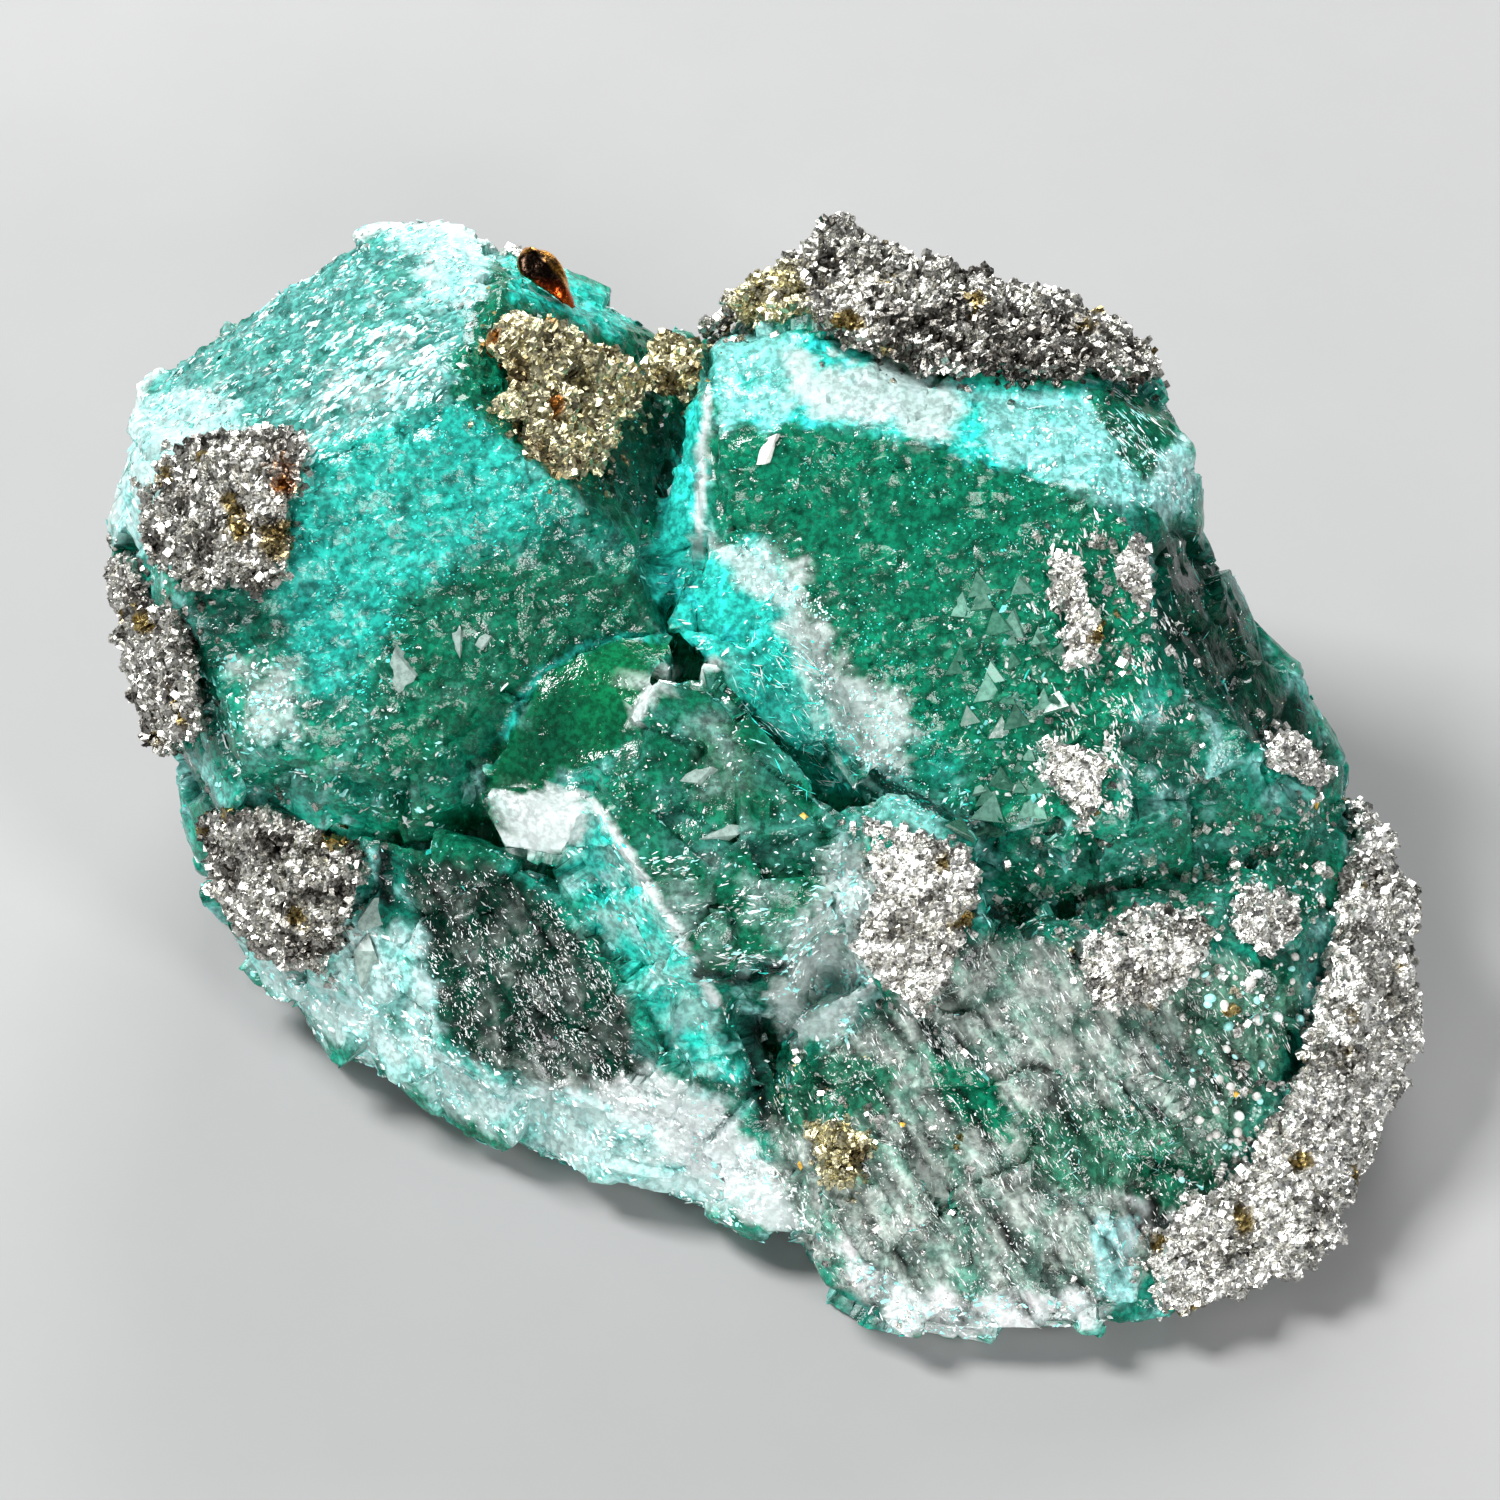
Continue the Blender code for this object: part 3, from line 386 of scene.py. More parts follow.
AREAS = {
    "left_face": (313, 470, 470, 420, 523, 450, 640, 545, 650, 620, 500, 700, 390, 800, 230, 760, 190, 620),
    "left_painted_light": (310, 450, 460, 405, 520, 450, 570, 510, 450, 590, 380, 700, 300, 700, 280, 560),
    "left_painted_shade": (480, 560, 600, 560, 650, 590, 650, 640, 540, 690, 440, 780, 380, 780, 360, 680, 400, 600),
    "left_bevel": (135, 375, 370, 222, 415, 215, 500, 290, 455, 400, 313, 470, 150, 430),
    "bevel_fleck": (300, 400, 340, 340, 440, 320, 450, 400, 380, 430, 310, 460),
    "left_flank": (455, 400, 480, 300, 510, 240, 650, 320, 700, 400, 655, 540, 640, 545, 523, 450),
    "flank_painted_shade": (560, 430, 640, 380, 695, 420, 690, 500, 640, 530, 600, 500),
    "left_milk": (105, 400, 180, 390, 235, 395, 250, 440, 170, 470, 140, 540, 105, 540),
    "top_milk": (365, 225, 420, 210, 500, 240, 480, 300, 420, 310, 430, 250),
    "cyan_strip": (500, 250, 555, 262, 600, 285, 640, 320, 610, 335, 560, 310, 510, 300),
    "frost_patch": (245, 660, 303, 666, 310, 736, 250, 740),
    "left_lower": (200, 640, 260, 620, 330, 680, 450, 740, 440, 830, 300, 800, 210, 790),
    "left_shade": (195, 600, 270, 600, 300, 640, 240, 660, 200, 700),
    "seam": (712, 381, 706, 470, 700, 560, 685, 620, 655, 580, 668, 480, 690, 410),
    "sill": (655, 570, 760, 540, 800, 600, 790, 650, 720, 660, 670, 650),
    "fibres": (735, 650, 790, 620, 850, 720, 860, 800, 800, 790, 740, 700),
    "seam_facet": (703, 394, 740, 400, 752, 470, 748, 540, 715, 563),
    "right_face": (
        715, 440, 800, 425, 940, 450, 1090, 500, 1130, 540, 1150, 640, 1100, 800, 1000, 830, 880, 780,
        800, 640, 730, 540,
    ),
    "right_low": (790, 620, 860, 680, 960, 760, 980, 830, 880, 830, 840, 760),
    "top_band": (
        710, 345, 790, 330, 940, 385, 1100, 390, 1150, 430, 1190, 470, 1190, 515, 1130, 505, 1000, 470,
        860, 430, 720, 425,
    ),
    "band_left": (712, 340, 760, 318, 800, 340, 790, 420, 720, 430),
    "band_white": (790, 360, 900, 358, 960, 400, 950, 452, 870, 432, 780, 400),
    "band_right": (960, 390, 1090, 395, 1190, 470, 1195, 512, 1120, 510, 1000, 470),
    "band_facet": (1085, 390, 1150, 400, 1185, 440, 1150, 490, 1110, 450),
    "knob": (1150, 470, 1185, 430, 1203, 480, 1190, 520, 1150, 515),
    "side_face": (1195, 520, 1350, 790, 1250, 740, 1160, 640, 1150, 540),
    "side_low_shade": (1230, 700, 1290, 700, 1345, 790, 1280, 770),
    "veil": (
        712, 541, 770, 545, 827, 610, 850, 670, 905, 700, 910, 770, 870, 780, 830, 740, 805, 690, 770, 600,
        730, 590,
    ),
    "veil_low": (860, 760, 960, 790, 985, 840, 930, 860, 870, 830),
    "platelets": (940, 590, 1040, 580, 1070, 700, 1060, 830, 960, 830, 960, 720),
    "streaks": (1030, 540, 1110, 520, 1190, 640, 1200, 780, 1120, 800, 1030, 740),
    "bright_hoof": (1030, 760, 1070, 745, 1110, 740, 1130, 800, 1090, 830, 1040, 810),
    "leaf": (480, 797, 508, 736, 537, 688, 579, 653, 623, 637, 674, 643, 636, 720, 598, 765, 537, 790),
    "leaf_light": (560, 665, 623, 637, 674, 643, 640, 700, 600, 720),
    "fragment": (505, 851, 569, 857, 591, 800, 559, 787, 499, 787, 483, 810),
    "centre": (
        655, 679, 716, 666, 751, 707, 815, 787, 840, 819, 824, 883, 776, 946, 706, 978, 677, 924, 633, 860,
        595, 806, 636, 720,
    ),
    "centre_haze": (680, 710, 740, 720, 770, 790, 740, 840, 690, 800),
    "centre_low": (640, 850, 720, 860, 820, 870, 820, 930, 760, 960, 700, 980, 660, 920),
    "centre_bevel": (591, 800, 677, 924, 716, 1000, 740, 1090, 690, 1060, 640, 990, 579, 915, 572, 857),
    "centre_white": (770, 985, 830, 850, 870, 830, 880, 960, 850, 1040, 780, 1040),
    "striated": (
        399, 863, 501, 860, 565, 908, 622, 984, 641, 1067, 574, 1099, 498, 1067, 437, 1032, 427, 946,
    ),
    "striated_grey": (480, 1040, 560, 1060, 640, 1080, 600, 1110, 520, 1090),
    "under_leaf": (380, 800, 500, 800, 505, 860, 440, 870, 390, 850),
    "lower_rim_light": (
        200, 930, 290, 960, 390, 1010, 500, 1080, 600, 1090, 700, 1080, 800, 1190, 810, 1240, 740, 1215,
        590, 1180, 440, 1105, 330, 1045, 200, 945,
    ),
    "lower_left": (340, 900, 430, 930, 440, 1040, 360, 1010, 300, 960),
    "rim_highlight": (600, 1075, 660, 1067, 730, 1110, 800, 1190, 810, 1240, 740, 1215, 650, 1130, 595, 1100),
    "lower_right": (
        860, 1020, 960, 930, 1230, 950, 1300, 1000, 1230, 1140, 1200, 1230, 1050, 1320, 900, 1325, 800, 1240,
        760, 1100,
    ),
    "wedge": (925, 1050, 1000, 1080, 1010, 1140, 975, 1130, 940, 1090),
    "green_left": (760, 1040, 830, 1050, 900, 1060, 880, 1110, 800, 1130, 760, 1100),
    "dark_band": (1010, 1105, 1130, 1100, 1180, 1120, 1180, 1160, 1080, 1190, 1030, 1170),
    "dish": (1124, 1154, 1204, 1150, 1215, 1200, 1170, 1215, 1130, 1195),
    "right_upper": (1000, 840, 1130, 830, 1340, 800, 1345, 900, 1250, 940, 1100, 930, 1000, 930),
    "beads": (1160, 960, 1300, 950, 1290, 1080, 1230, 1180, 1180, 1180, 1190, 1080),
    "lower_white": (820, 1230, 900, 1280, 960, 1290, 1080, 1280, 1110, 1310, 1050, 1330, 900, 1330),
    "tube": (1086, 1215, 1131, 1205, 1131, 1291, 1090, 1291),
    "top_grains": (500, 238, 545, 240, 580, 262, 570, 278, 510, 256),
    "crown_gold": (722, 268, 795, 262, 812, 318, 738, 334),
    "crown_dark": (850, 300, 1000, 315, 1100, 350, 1130, 410, 1000, 388, 900, 372),
    "patch_red": (285, 465, 305, 465, 305, 495, 285, 495),
    "patch_olive": (265, 530, 300, 525, 300, 565, 270, 565),
}

TEAL = (0.010, 0.30, 0.21)
BRIGHT_TEAL = (0.03, 0.60, 0.50)
DARK_TEAL = (0.004, 0.17, 0.085)
EMERALD = (0.004, 0.21, 0.11)
DEEP_GREEN = (0.002, 0.055, 0.032)
LEAF_GREEN = (0.004, 0.22, 0.08)
PALE_TEAL = (0.13, 0.50, 0.46)
# Bright cyan for painted glow, where light comes through thin fluorite, and for painted highlights on its
# scales and specks
GLOW_CYAN = (0.04, 0.88, 0.74)
ICE = (0.42, 0.95, 0.91)
MILK = (0.90, 1.0, 0.98)
GREY_GREEN = (0.13, 0.30, 0.23)
PLATE_GREEN = (0.04, 0.15, 0.10)
GREY = (0.42, 0.47, 0.44)
SILVER = (0.72, 0.71, 0.67)
NEAR_BLACK = (0.001, 0.012, 0.009)
# Near black green for the painted shade on the right crystal's side face
SIDE_SHADE = (0.001, 0.035, 0.022)
STRAW = (0.75, 0.70, 0.40)
PYRITE_BRIGHT = (0.97, 0.96, 0.91)
PYRITE_DULL = (0.55, 0.54, 0.50)
PYRITE_GREY = (0.66, 0.65, 0.60)
PYRITE_DARK = (0.20, 0.19, 0.17)
PYRITE_STAIN = (0.34, 0.26, 0.10)
GOLD_BRIGHT = (0.72, 0.67, 0.44)
GOLD_DULL = (0.30, 0.24, 0.12)
GOLD_STAIN = (0.45, 0.17, 0.03)
# Near black for the painted shade in the pyrite's crevices
CREVICE_SHADE = (0.015, 0.013, 0.010)
TARNISH_BLACK = (0.02, 0.012, 0.008)
TARNISH_ORANGE = (0.80, 0.36, 0.05)
TARNISH_RED = (0.45, 0.06, 0.01)

# Each layer of paint: area, colour, strength, blur in mm, and how patchy it is
PAINT = (
    # Painted light and shade on the left crystal's face: lighter towards its upper left and darker towards
    # its lower right.
    ("left_painted_light", BRIGHT_TEAL, 0.85, 2.2, 0.3),
    ("left_painted_shade", DARK_TEAL, 0.9, 2.4, 0.3),
    ("left_lower", DARK_TEAL, 0.5, 0.8, 0.8),
    ("left_shade", DEEP_GREEN, 0.8, 0.6, 0.6),
    ("left_bevel", PALE_TEAL, 0.7, 0.6, 0.5),
    ("bevel_fleck", MILK, 0.4, 0.8, 1.0),
    ("left_flank", EMERALD, 0.95, 0.4, 0.2),
    # Painted shade: the left crystal's right flank is darkened.
    ("flank_painted_shade", DEEP_GREEN, 0.85, 1.0, 0.4),
    ("frost_patch", MILK, 0.6, 0.8, 0.8),
    ("left_milk", ICE, 1.0, 0.6, 0.6),
    ("left_milk", MILK, 0.6, 0.8, 0.9),
    ("top_milk", ICE, 1.0, 0.6, 0.7),
    ("top_milk", MILK, 0.5, 0.8, 1.0),
    # Painted glow of light through the thin fluorite along the strip.
    ("cyan_strip", GLOW_CYAN, 0.9, 0.4, 0.8),
    ("right_face", EMERALD, 1.0, 0.4, 0.0),
    ("right_low", BRIGHT_TEAL, 0.5, 1.4, 0.6),
    # Painted shade: the right crystal's side face is near black, darker still low down; the emerald patches
    # are its own colour.
    ("side_face", SIDE_SHADE, 1.0, 0.5, 0.0),
    ("side_face", EMERALD, 0.35, 0.8, 1.1),
    ("side_low_shade", DEEP_GREEN, 0.9, 0.8, 0.3),
    ("seam_facet", EMERALD, 0.7, 0.4, 0.2),
    # The top band: painted glow in bright cyan, with ice and milky white patches that are partly its own
    # milky frost and partly painted glow.
    ("top_band", GLOW_CYAN, 1.0, 0.3, 0.3),
    ("band_left", ICE, 0.7, 0.6, 0.7),
    ("band_white", MILK, 0.8, 0.7, 0.8),
    ("band_right", ICE, 0.75, 0.5, 0.7),
    ("band_facet", DARK_TEAL, 0.95, 0.2, 0.2),
    ("knob", ICE, 0.95, 0.3, 0.3),
    ("knob", MILK, 0.4, 0.3, 1.0),
    # Painted glow along the seam and the sill between the crystals.
    ("seam", GLOW_CYAN, 1.0, 0.3, 0.2),
    ("sill", GLOW_CYAN, 1.0, 0.5, 0.4),
    ("fibres", BRIGHT_TEAL, 0.8, 0.6, 0.6),
    ("platelets", GREY_GREEN, 0.25, 0.8, 0.8),
    ("veil", MILK, 0.75, 0.8, 0.9),
    ("veil_low", ICE, 0.6, 0.9, 0.9),
    ("leaf", LEAF_GREEN, 1.0, 0.15, 0.0),
    ("leaf", DEEP_GREEN, 0.8, 1.6, 0.0),
    ("leaf_light", LEAF_GREEN, 0.9, 0.9, 0.0),
    ("centre", DARK_TEAL, 1.0, 0.3, 0.0),
    ("centre", PALE_TEAL, 0.4, 0.6, 1.1),
    ("centre_haze", GREY, 0.45, 0.8, 0.6),
    ("centre_low", GREY, 0.4, 0.7, 1.0),
    ("centre_bevel", GLOW_CYAN, 0.8, 0.3, 0.5),
    ("centre_bevel", MILK, 0.45, 0.5, 1.0),
    ("centre_white", MILK, 0.75, 0.7, 0.8),
    ("fragment", MILK, 0.95, 0.2, 0.3),
    ("under_leaf", DARK_TEAL, 0.9, 0.7, 0.3),
    ("striated", DEEP_GREEN, 1.0, 0.5, 0.2),
    ("striated", NEAR_BLACK, 0.5, 0.9, 0.9),
    ("striated", GREY, 0.3, 0.9, 1.3),
    ("striated_grey", GREY, 0.6, 0.6, 0.8),
    # Painted rim light along the lower rim, pale ice and milky white with a few emerald spots of its own,
    # brightest at its right end.
    ("lower_rim_light", ICE, 0.85, 0.5, 0.6),
    ("lower_rim_light", MILK, 0.6, 0.5, 1.2),
    ("lower_rim_light", EMERALD, 0.1, 0.5, 0.9),
    ("lower_left", ICE, 0.8, 0.7, 1.0),
    ("lower_left", MILK, 0.5, 0.7, 1.2),
    ("rim_highlight", MILK, 0.95, 0.6, 0.5),
    ("lower_right", GREY_GREEN, 0.9, 0.7, 0.6),
    ("lower_right", GREY, 0.6, 1.0, 1.0),
    ("lower_right", SILVER, 0.35, 1.0, 1.2),
    ("green_left", EMERALD, 0.9, 0.7, 0.5),
    ("dark_band", DARK_TEAL, 0.85, 0.6, 0.6),
    ("wedge", EMERALD, 1.0, 0.2, 0.1),
    ("right_upper", EMERALD, 0.9, 0.8, 0.5),
    ("right_upper", PALE_TEAL, 0.4, 0.8, 1.2),
    ("beads", EMERALD, 0.7, 0.6, 0.7),
    ("dish", DARK_TEAL, 0.95, 0.2, 0.2),
    ("lower_white", MILK, 0.95, 0.5, 0.5),
    ("tube", ICE, 1.0, 0.2, 0.2),
)

# Each line of paint: colour, width in mm, and its corners on the photograph
LINES = (
    # Painted rim light along the left and top edges of the left crystal
    (MILK, 0.55, (100, 520, 110, 440, 135, 375, 240, 290, 370, 222, 430, 215, 500, 237)),
    # Painted glow along the seam
    (MILK, 0.3, (708, 395, 702, 470, 697, 560)),
    # Painted highlight on the leaf's upper-left rim
    (BRIGHT_TEAL, 0.22, (506, 740, 522, 700, 548, 670, 582, 650, 623, 637, 668, 641)),
    (MILK, 0.3, (594, 800, 640, 868, 677, 924, 716, 1000)),
    (MILK, 0.35, (636, 722, 655, 682, 690, 668, 716, 666)),
    # Painted glint along the top-right edge
    (GLOW_CYAN, 0.35, (1100, 300, 1140, 335, 1170, 380)),
    (MILK, 0.3, (1124, 1190, 1160, 1212, 1205, 1208)),
    (NEAR_BLACK, 0.5, (385, 850, 388, 900)),
    (NEAR_BLACK, 0.6, (756, 1020, 755, 1060, 765, 1120)),
    (NEAR_BLACK, 0.7, (922, 1020, 938, 1048)),
    (NEAR_BLACK, 0.5, (700, 968, 740, 978, 780, 965)),
)

VOXEL = 0.21
CRYSTAL_TRIANGLES = 192000
SHARP_EDGE = math.radians(30.0)
STRIATION_TURN = -57.0  # direction of the fine ridges, in degrees from u towards v
SCALE_TURN = 32.0  # direction of the etched scales on the left crystal
PEBBLE = 0.55  # size of the pebbles that an etched crystal face is covered with
PLATE = 3.4  # size of the flat facets of a broken face
SKIN_SINK = 0.12  # the relief is let in by this much, to stay near the solid


def roughened(points, normals):
    """The fluorite's points, moved out by the relief of its etched and broken skin, in mm."""
    spots = to_side(points)
    uv = spots[:, :2]
    front = smooth(-0.1, 0.35, normals @ OUT)
    etched = ("left_face", "left_bevel", "left_flank", "right_face", "top_band")
    whole = np.maximum.reduce([area(uv, name, 0.8) for name in etched]) * front
    glassy = np.maximum.reduce([area(uv, name, 0.3) for name in ("leaf", "fragment")]) * front
    broken = (1 - whole) * (1 - glassy)
    ridged = np.maximum(area(uv, "striated", 0.8), area(uv, "lower_right", 0.8)) * front
    plates, border = facets(spots, PLATE)
    splinters, _ = facets(squeezed(spots, STRIATION_TURN, 1.8), 0.9, 3.3)
    scales, _ = facets(squeezed(spots, SCALE_TURN, 1.5), PEBBLE, 8.1)
    ridges = squeezed(spots, STRIATION_TURN, 7.0)
    move = 0.2 * waves(spots, 5.0) * (1 - glassy)
    move += whole * (0.32 * scales + 0.05 * waves(spots, 1.4))
    move += broken * (0.30 * plates + 0.17 * splinters - 0.10 * smooth(0.12, 0.0, border))
    move += ridged * (0.28 * np.abs(waves(ridges, 0.8, 1.7)) + 0.10 * waves(ridges, 0.4, 4.2))
    move -= SKIN_SINK
    return points + normals * (move * MM)[:, None]


def paint_fluorite(obj):
    """Colours the fluorite's skin area by area, with painted glow, rim light, highlights and shade among its
    own colours, and stores how frosted it is.
    """
    points, normals, _ = mesh_arrays(obj.data)
    spots = to_side(points)
    ragged = 0.5 * wander(spots, 1.1, 2.0, 9.0) + 0.25 * wander(spots, 0.45, 5.0, 7.0)
    uv = spots[:, :2] + ragged
    front = smooth(-0.15, 0.15, normals @ OUT)
    cloud = waves(spots, 3.0, 5.0)
    patchy = waves(spots, 1.3, 6.0) + 0.7 * waves(spots, 0.5, 1.0)
    pebble = waves(squeezed(spots, SCALE_TURN, 1.6), PEBBLE, 3.0)
    colours = np.tile(TEAL, (len(points), 1))
    colours = blended(colours, 0.25 + 0.9 * cloud, DARK_TEAL)
    colours = blended(colours, smooth(0.1, 0.4, -cloud + 0.5 * patchy) * 0.55, PALE_TEAL)
    colours = blended(colours, smooth(0.55, 0.8, patchy) * 0.8, ICE)
    plates, border = facets(spots, PLATE)
    colours *= (1 + 0.35 * np.clip(plates, -1, 1))[:, None]
    colours = blended(colours, smooth(0.10, 0.02, border) * smooth(-0.2, 0.3, patchy) * 0.7, ICE)
    for name, colour, strength, blur, patches in PAINT:
        mask = area(uv, name, blur) * front
        share = smooth(0.2, 0.7, strength * mask + patches * 0.55 * patchy) if patches else mask
        colours = blended(colours, share * strength * smooth(0.0, 0.15, mask), colour)
    for colour, width, line in LINES:
        colours = blended(colours, stroke(spots[:, :2] + 0.3 * ragged, line, width) * front, colour)
    streaky = np.maximum(area(uv, "lower_right", 0.8), area(uv, "striated", 0.8)) * front
    streaks = waves(squeezed(spots, STRIATION_TURN, 8.0), 0.45, 2.2)
    smooth_skin = area(uv, "leaf", 0.4) * front
    # Painted light and shade on the etched scales: lighter tops and darker gaps, weaker on pale paint and on
    # the smooth leaf, none on the streaked parts.
    scale_light_and_shade = np.clip(pebble, -1, 1) * (1 - streaky) * (1 - colours[:, 0]) * (1 - 0.8 * smooth_skin)
    colours *= (1 + 0.8 * scale_light_and_shade + 1.5 * streaks * streaky)[:, None]
    frost = 0.2 + 0.3 * cloud + 0.7 * colours[:, 0] - 0.5 * smooth_skin
    store_tint(obj, colours, frost)


def build_fluorite():
    obj = remeshed("fluorite_crystals", "fluorite", VOXEL)
    points, normals, triangles = mesh_arrays(obj.data)
    set_points(obj.data, roughened(points, normals))
    changed(obj, "DECIMATE", ratio=min(1.0, CRYSTAL_TRIANGLES / len(triangles)))
    obj.data.validate()
    set_points(obj.data, mesh_arrays(obj.data)[0])
    obj.data.shade_smooth()
    obj.data.set_sharp_from_angle(angle=SHARP_EDGE)
    paint_fluorite(obj)
    finish_piece(obj, fluorite_material(), "fluorite")
    return obj


# Small forms, as points about the origin in half sizes, and triangles

def as_form(bm):
    bm.verts.index_update()
    points = np.array([vert.co[:] for vert in bm.verts])
    triangles = np.array([[vert.index for vert in face.verts] for face in bm.faces])
    bm.free()
    return points, triangles


def closed_form(points):
    """The convex form of some points."""
    bm = bmesh.new()
    for point in points:
        bm.verts.new(point)
    hull = bmesh.ops.convex_hull(bm, input=bm.verts)
    spare = set(hull["geom_interior"] + hull["geom_unused"])
    loose = [item for item in spare if isinstance(item, bmesh.types.BMVert)]
    bmesh.ops.delete(bm, geom=loose, context="VERTS")
    bmesh.ops.triangulate(bm, faces=bm.faces)
    return as_form(bm)


def flake_form(base, top):
    """A low angular flake: an outline below and a smaller, sloping one above, as (turn, reach)."""
    points = []
    for outline, height, slope in ((base, -1.0, 0.0), (top, 0.8, 0.5)):
        for turn, reach in outline:
            x = reach * math.cos(math.radians(turn))
            y = reach * math.sin(math.radians(turn))
            points.append((x, y, height + slope * x))
    return closed_form(points)


def bead_form():
    bm = bmesh.new()
    bmesh.ops.create_icosphere(bm, subdivisions=2, radius=1.0)
    return as_form(bm)


CUBE = closed_form([(x, y, z) for x in (-1, 1) for y in (-1, 1) for z in (-1, 1)])
SPECK = closed_form(
    ((-1, 0.1, 0), (1, -0.1, 0), (0.2, -1, -0.1), (-0.1, 1, 0.1), (0.2, 0.1, 1), (0, 0, -1))
)
BEAD = bead_form()
PLATELET = flake_form(((90, 1.1), (215, 1.2), (328, 1.0)), ((92, 1.0), (214, 1.1), (327, 0.9)))
FLAKES = (
    flake_form(((0, 1.0), (80, 0.8), (170, 1.0), (265, 0.85)), ((20, 0.8), (140, 0.75), (250, 0.65))),
    flake_form(((10, 1.05), (100, 0.7), (190, 1.0), (280, 0.7)), ((60, 0.7), (185, 0.85), (320, 0.7))),
    flake_form(((-15, 0.9), (65, 0.9), (160, 0.9), (240, 0.9)), ((0, 0.8), (110, 0.7), (215, 0.8))),
)


def many(form, places, sizes, turns, colours):
    """Copies of a form, each with its colour, as points, triangles and the points' colours."""
    points, triangles = form
    moved = np.einsum("nij,npj->npi", turns, points[None] * sizes[:, None, :]) + places[:, None]
    offsets = (np.arange(len(places)) * len(points))[:, None, None]
    tints = np.repeat(colours, len(points), axis=0)
    return moved.reshape(-1, 3), (triangles[None] + offsets).reshape(-1, 3), tints


def unit(vectors):
    return vectors / np.linalg.norm(vectors, axis=1)[:, None]


def laid(normals, turn, spread, tilt):
    """Turns that lay forms on a surface, pointing near one direction of the best side."""
    count = len(normals)
    angles = np.radians(turn + spread * random.uniform(-1, 1, count))
    along = np.cos(angles)[:, None] * RIGHT + np.sin(angles)[:, None] * UP
    upward = unit(normals + tilt * random.normal(size=(count, 3)))
    along = unit(along - (along * upward).sum(axis=1)[:, None] * upward)
    return np.stack((along, np.cross(upward, along), upward), axis=2)


def random_turns(count):
    """Random rotation matrices, from random quaternions."""
    w, x, y, z = unit(random.normal(size=(count, 4))).T
    rows = (
        (1 - 2 * (y * y + z * z), 2 * (x * y - z * w), 2 * (x * z + y * w)),
        (2 * (x * y + z * w), 1 - 2 * (x * x + z * z), 2 * (y * z - x * w)),
        (2 * (x * z - y * w), 2 * (y * z + x * w), 1 - 2 * (x * x + y * y)),
    )
    return np.array(rows).transpose(2, 0, 1)


def spread_points(points, triangles, spacing):
    """Random places on triangles, about one for each square of the spacing, with their normals."""
    corners = points[triangles]
    cross = np.cross(corners[:, 1] - corners[:, 0], corners[:, 2] - corners[:, 0])
    sizes = np.linalg.norm(cross, axis=1) / 2
    count = int(sizes.sum() / (spacing * MM) ** 2)
    picks = random.choice(len(triangles), size=count, p=sizes / sizes.sum())
    one, two = random.random((2, count))
    fold = one + two > 1
    one, two = np.where(fold, 1 - one, one), np.where(fold, 1 - two, two)
    base = corners[picks]
    places = base[:, 0] + one[:, None] * (base[:, 1] - base[:, 0])
    return places + two[:, None] * (base[:, 2] - base[:, 0]), unit(cross[picks])


# The flakes on the fluorite

POOL_SPACING = 0.14  # the places that flakes are picked from lie about this far apart, in mm
POOL_SHARE = POOL_SPACING ** 2  # the share of the places that one flake per square mm takes
CLUMP_SHIFTS = (4.0, 11.0, 17.0)  # three patterns of clumps, taken in turn
SPECK_LENGTH = 0.35  # flakes below this length, in mm, or this share of width are simpler specks
SPECK_WIDTH = 0.25
BEADS_PER_MM2 = 1.6
PLATELETS_PER_MM2 = 0.45
WHITES = (MILK, ICE)

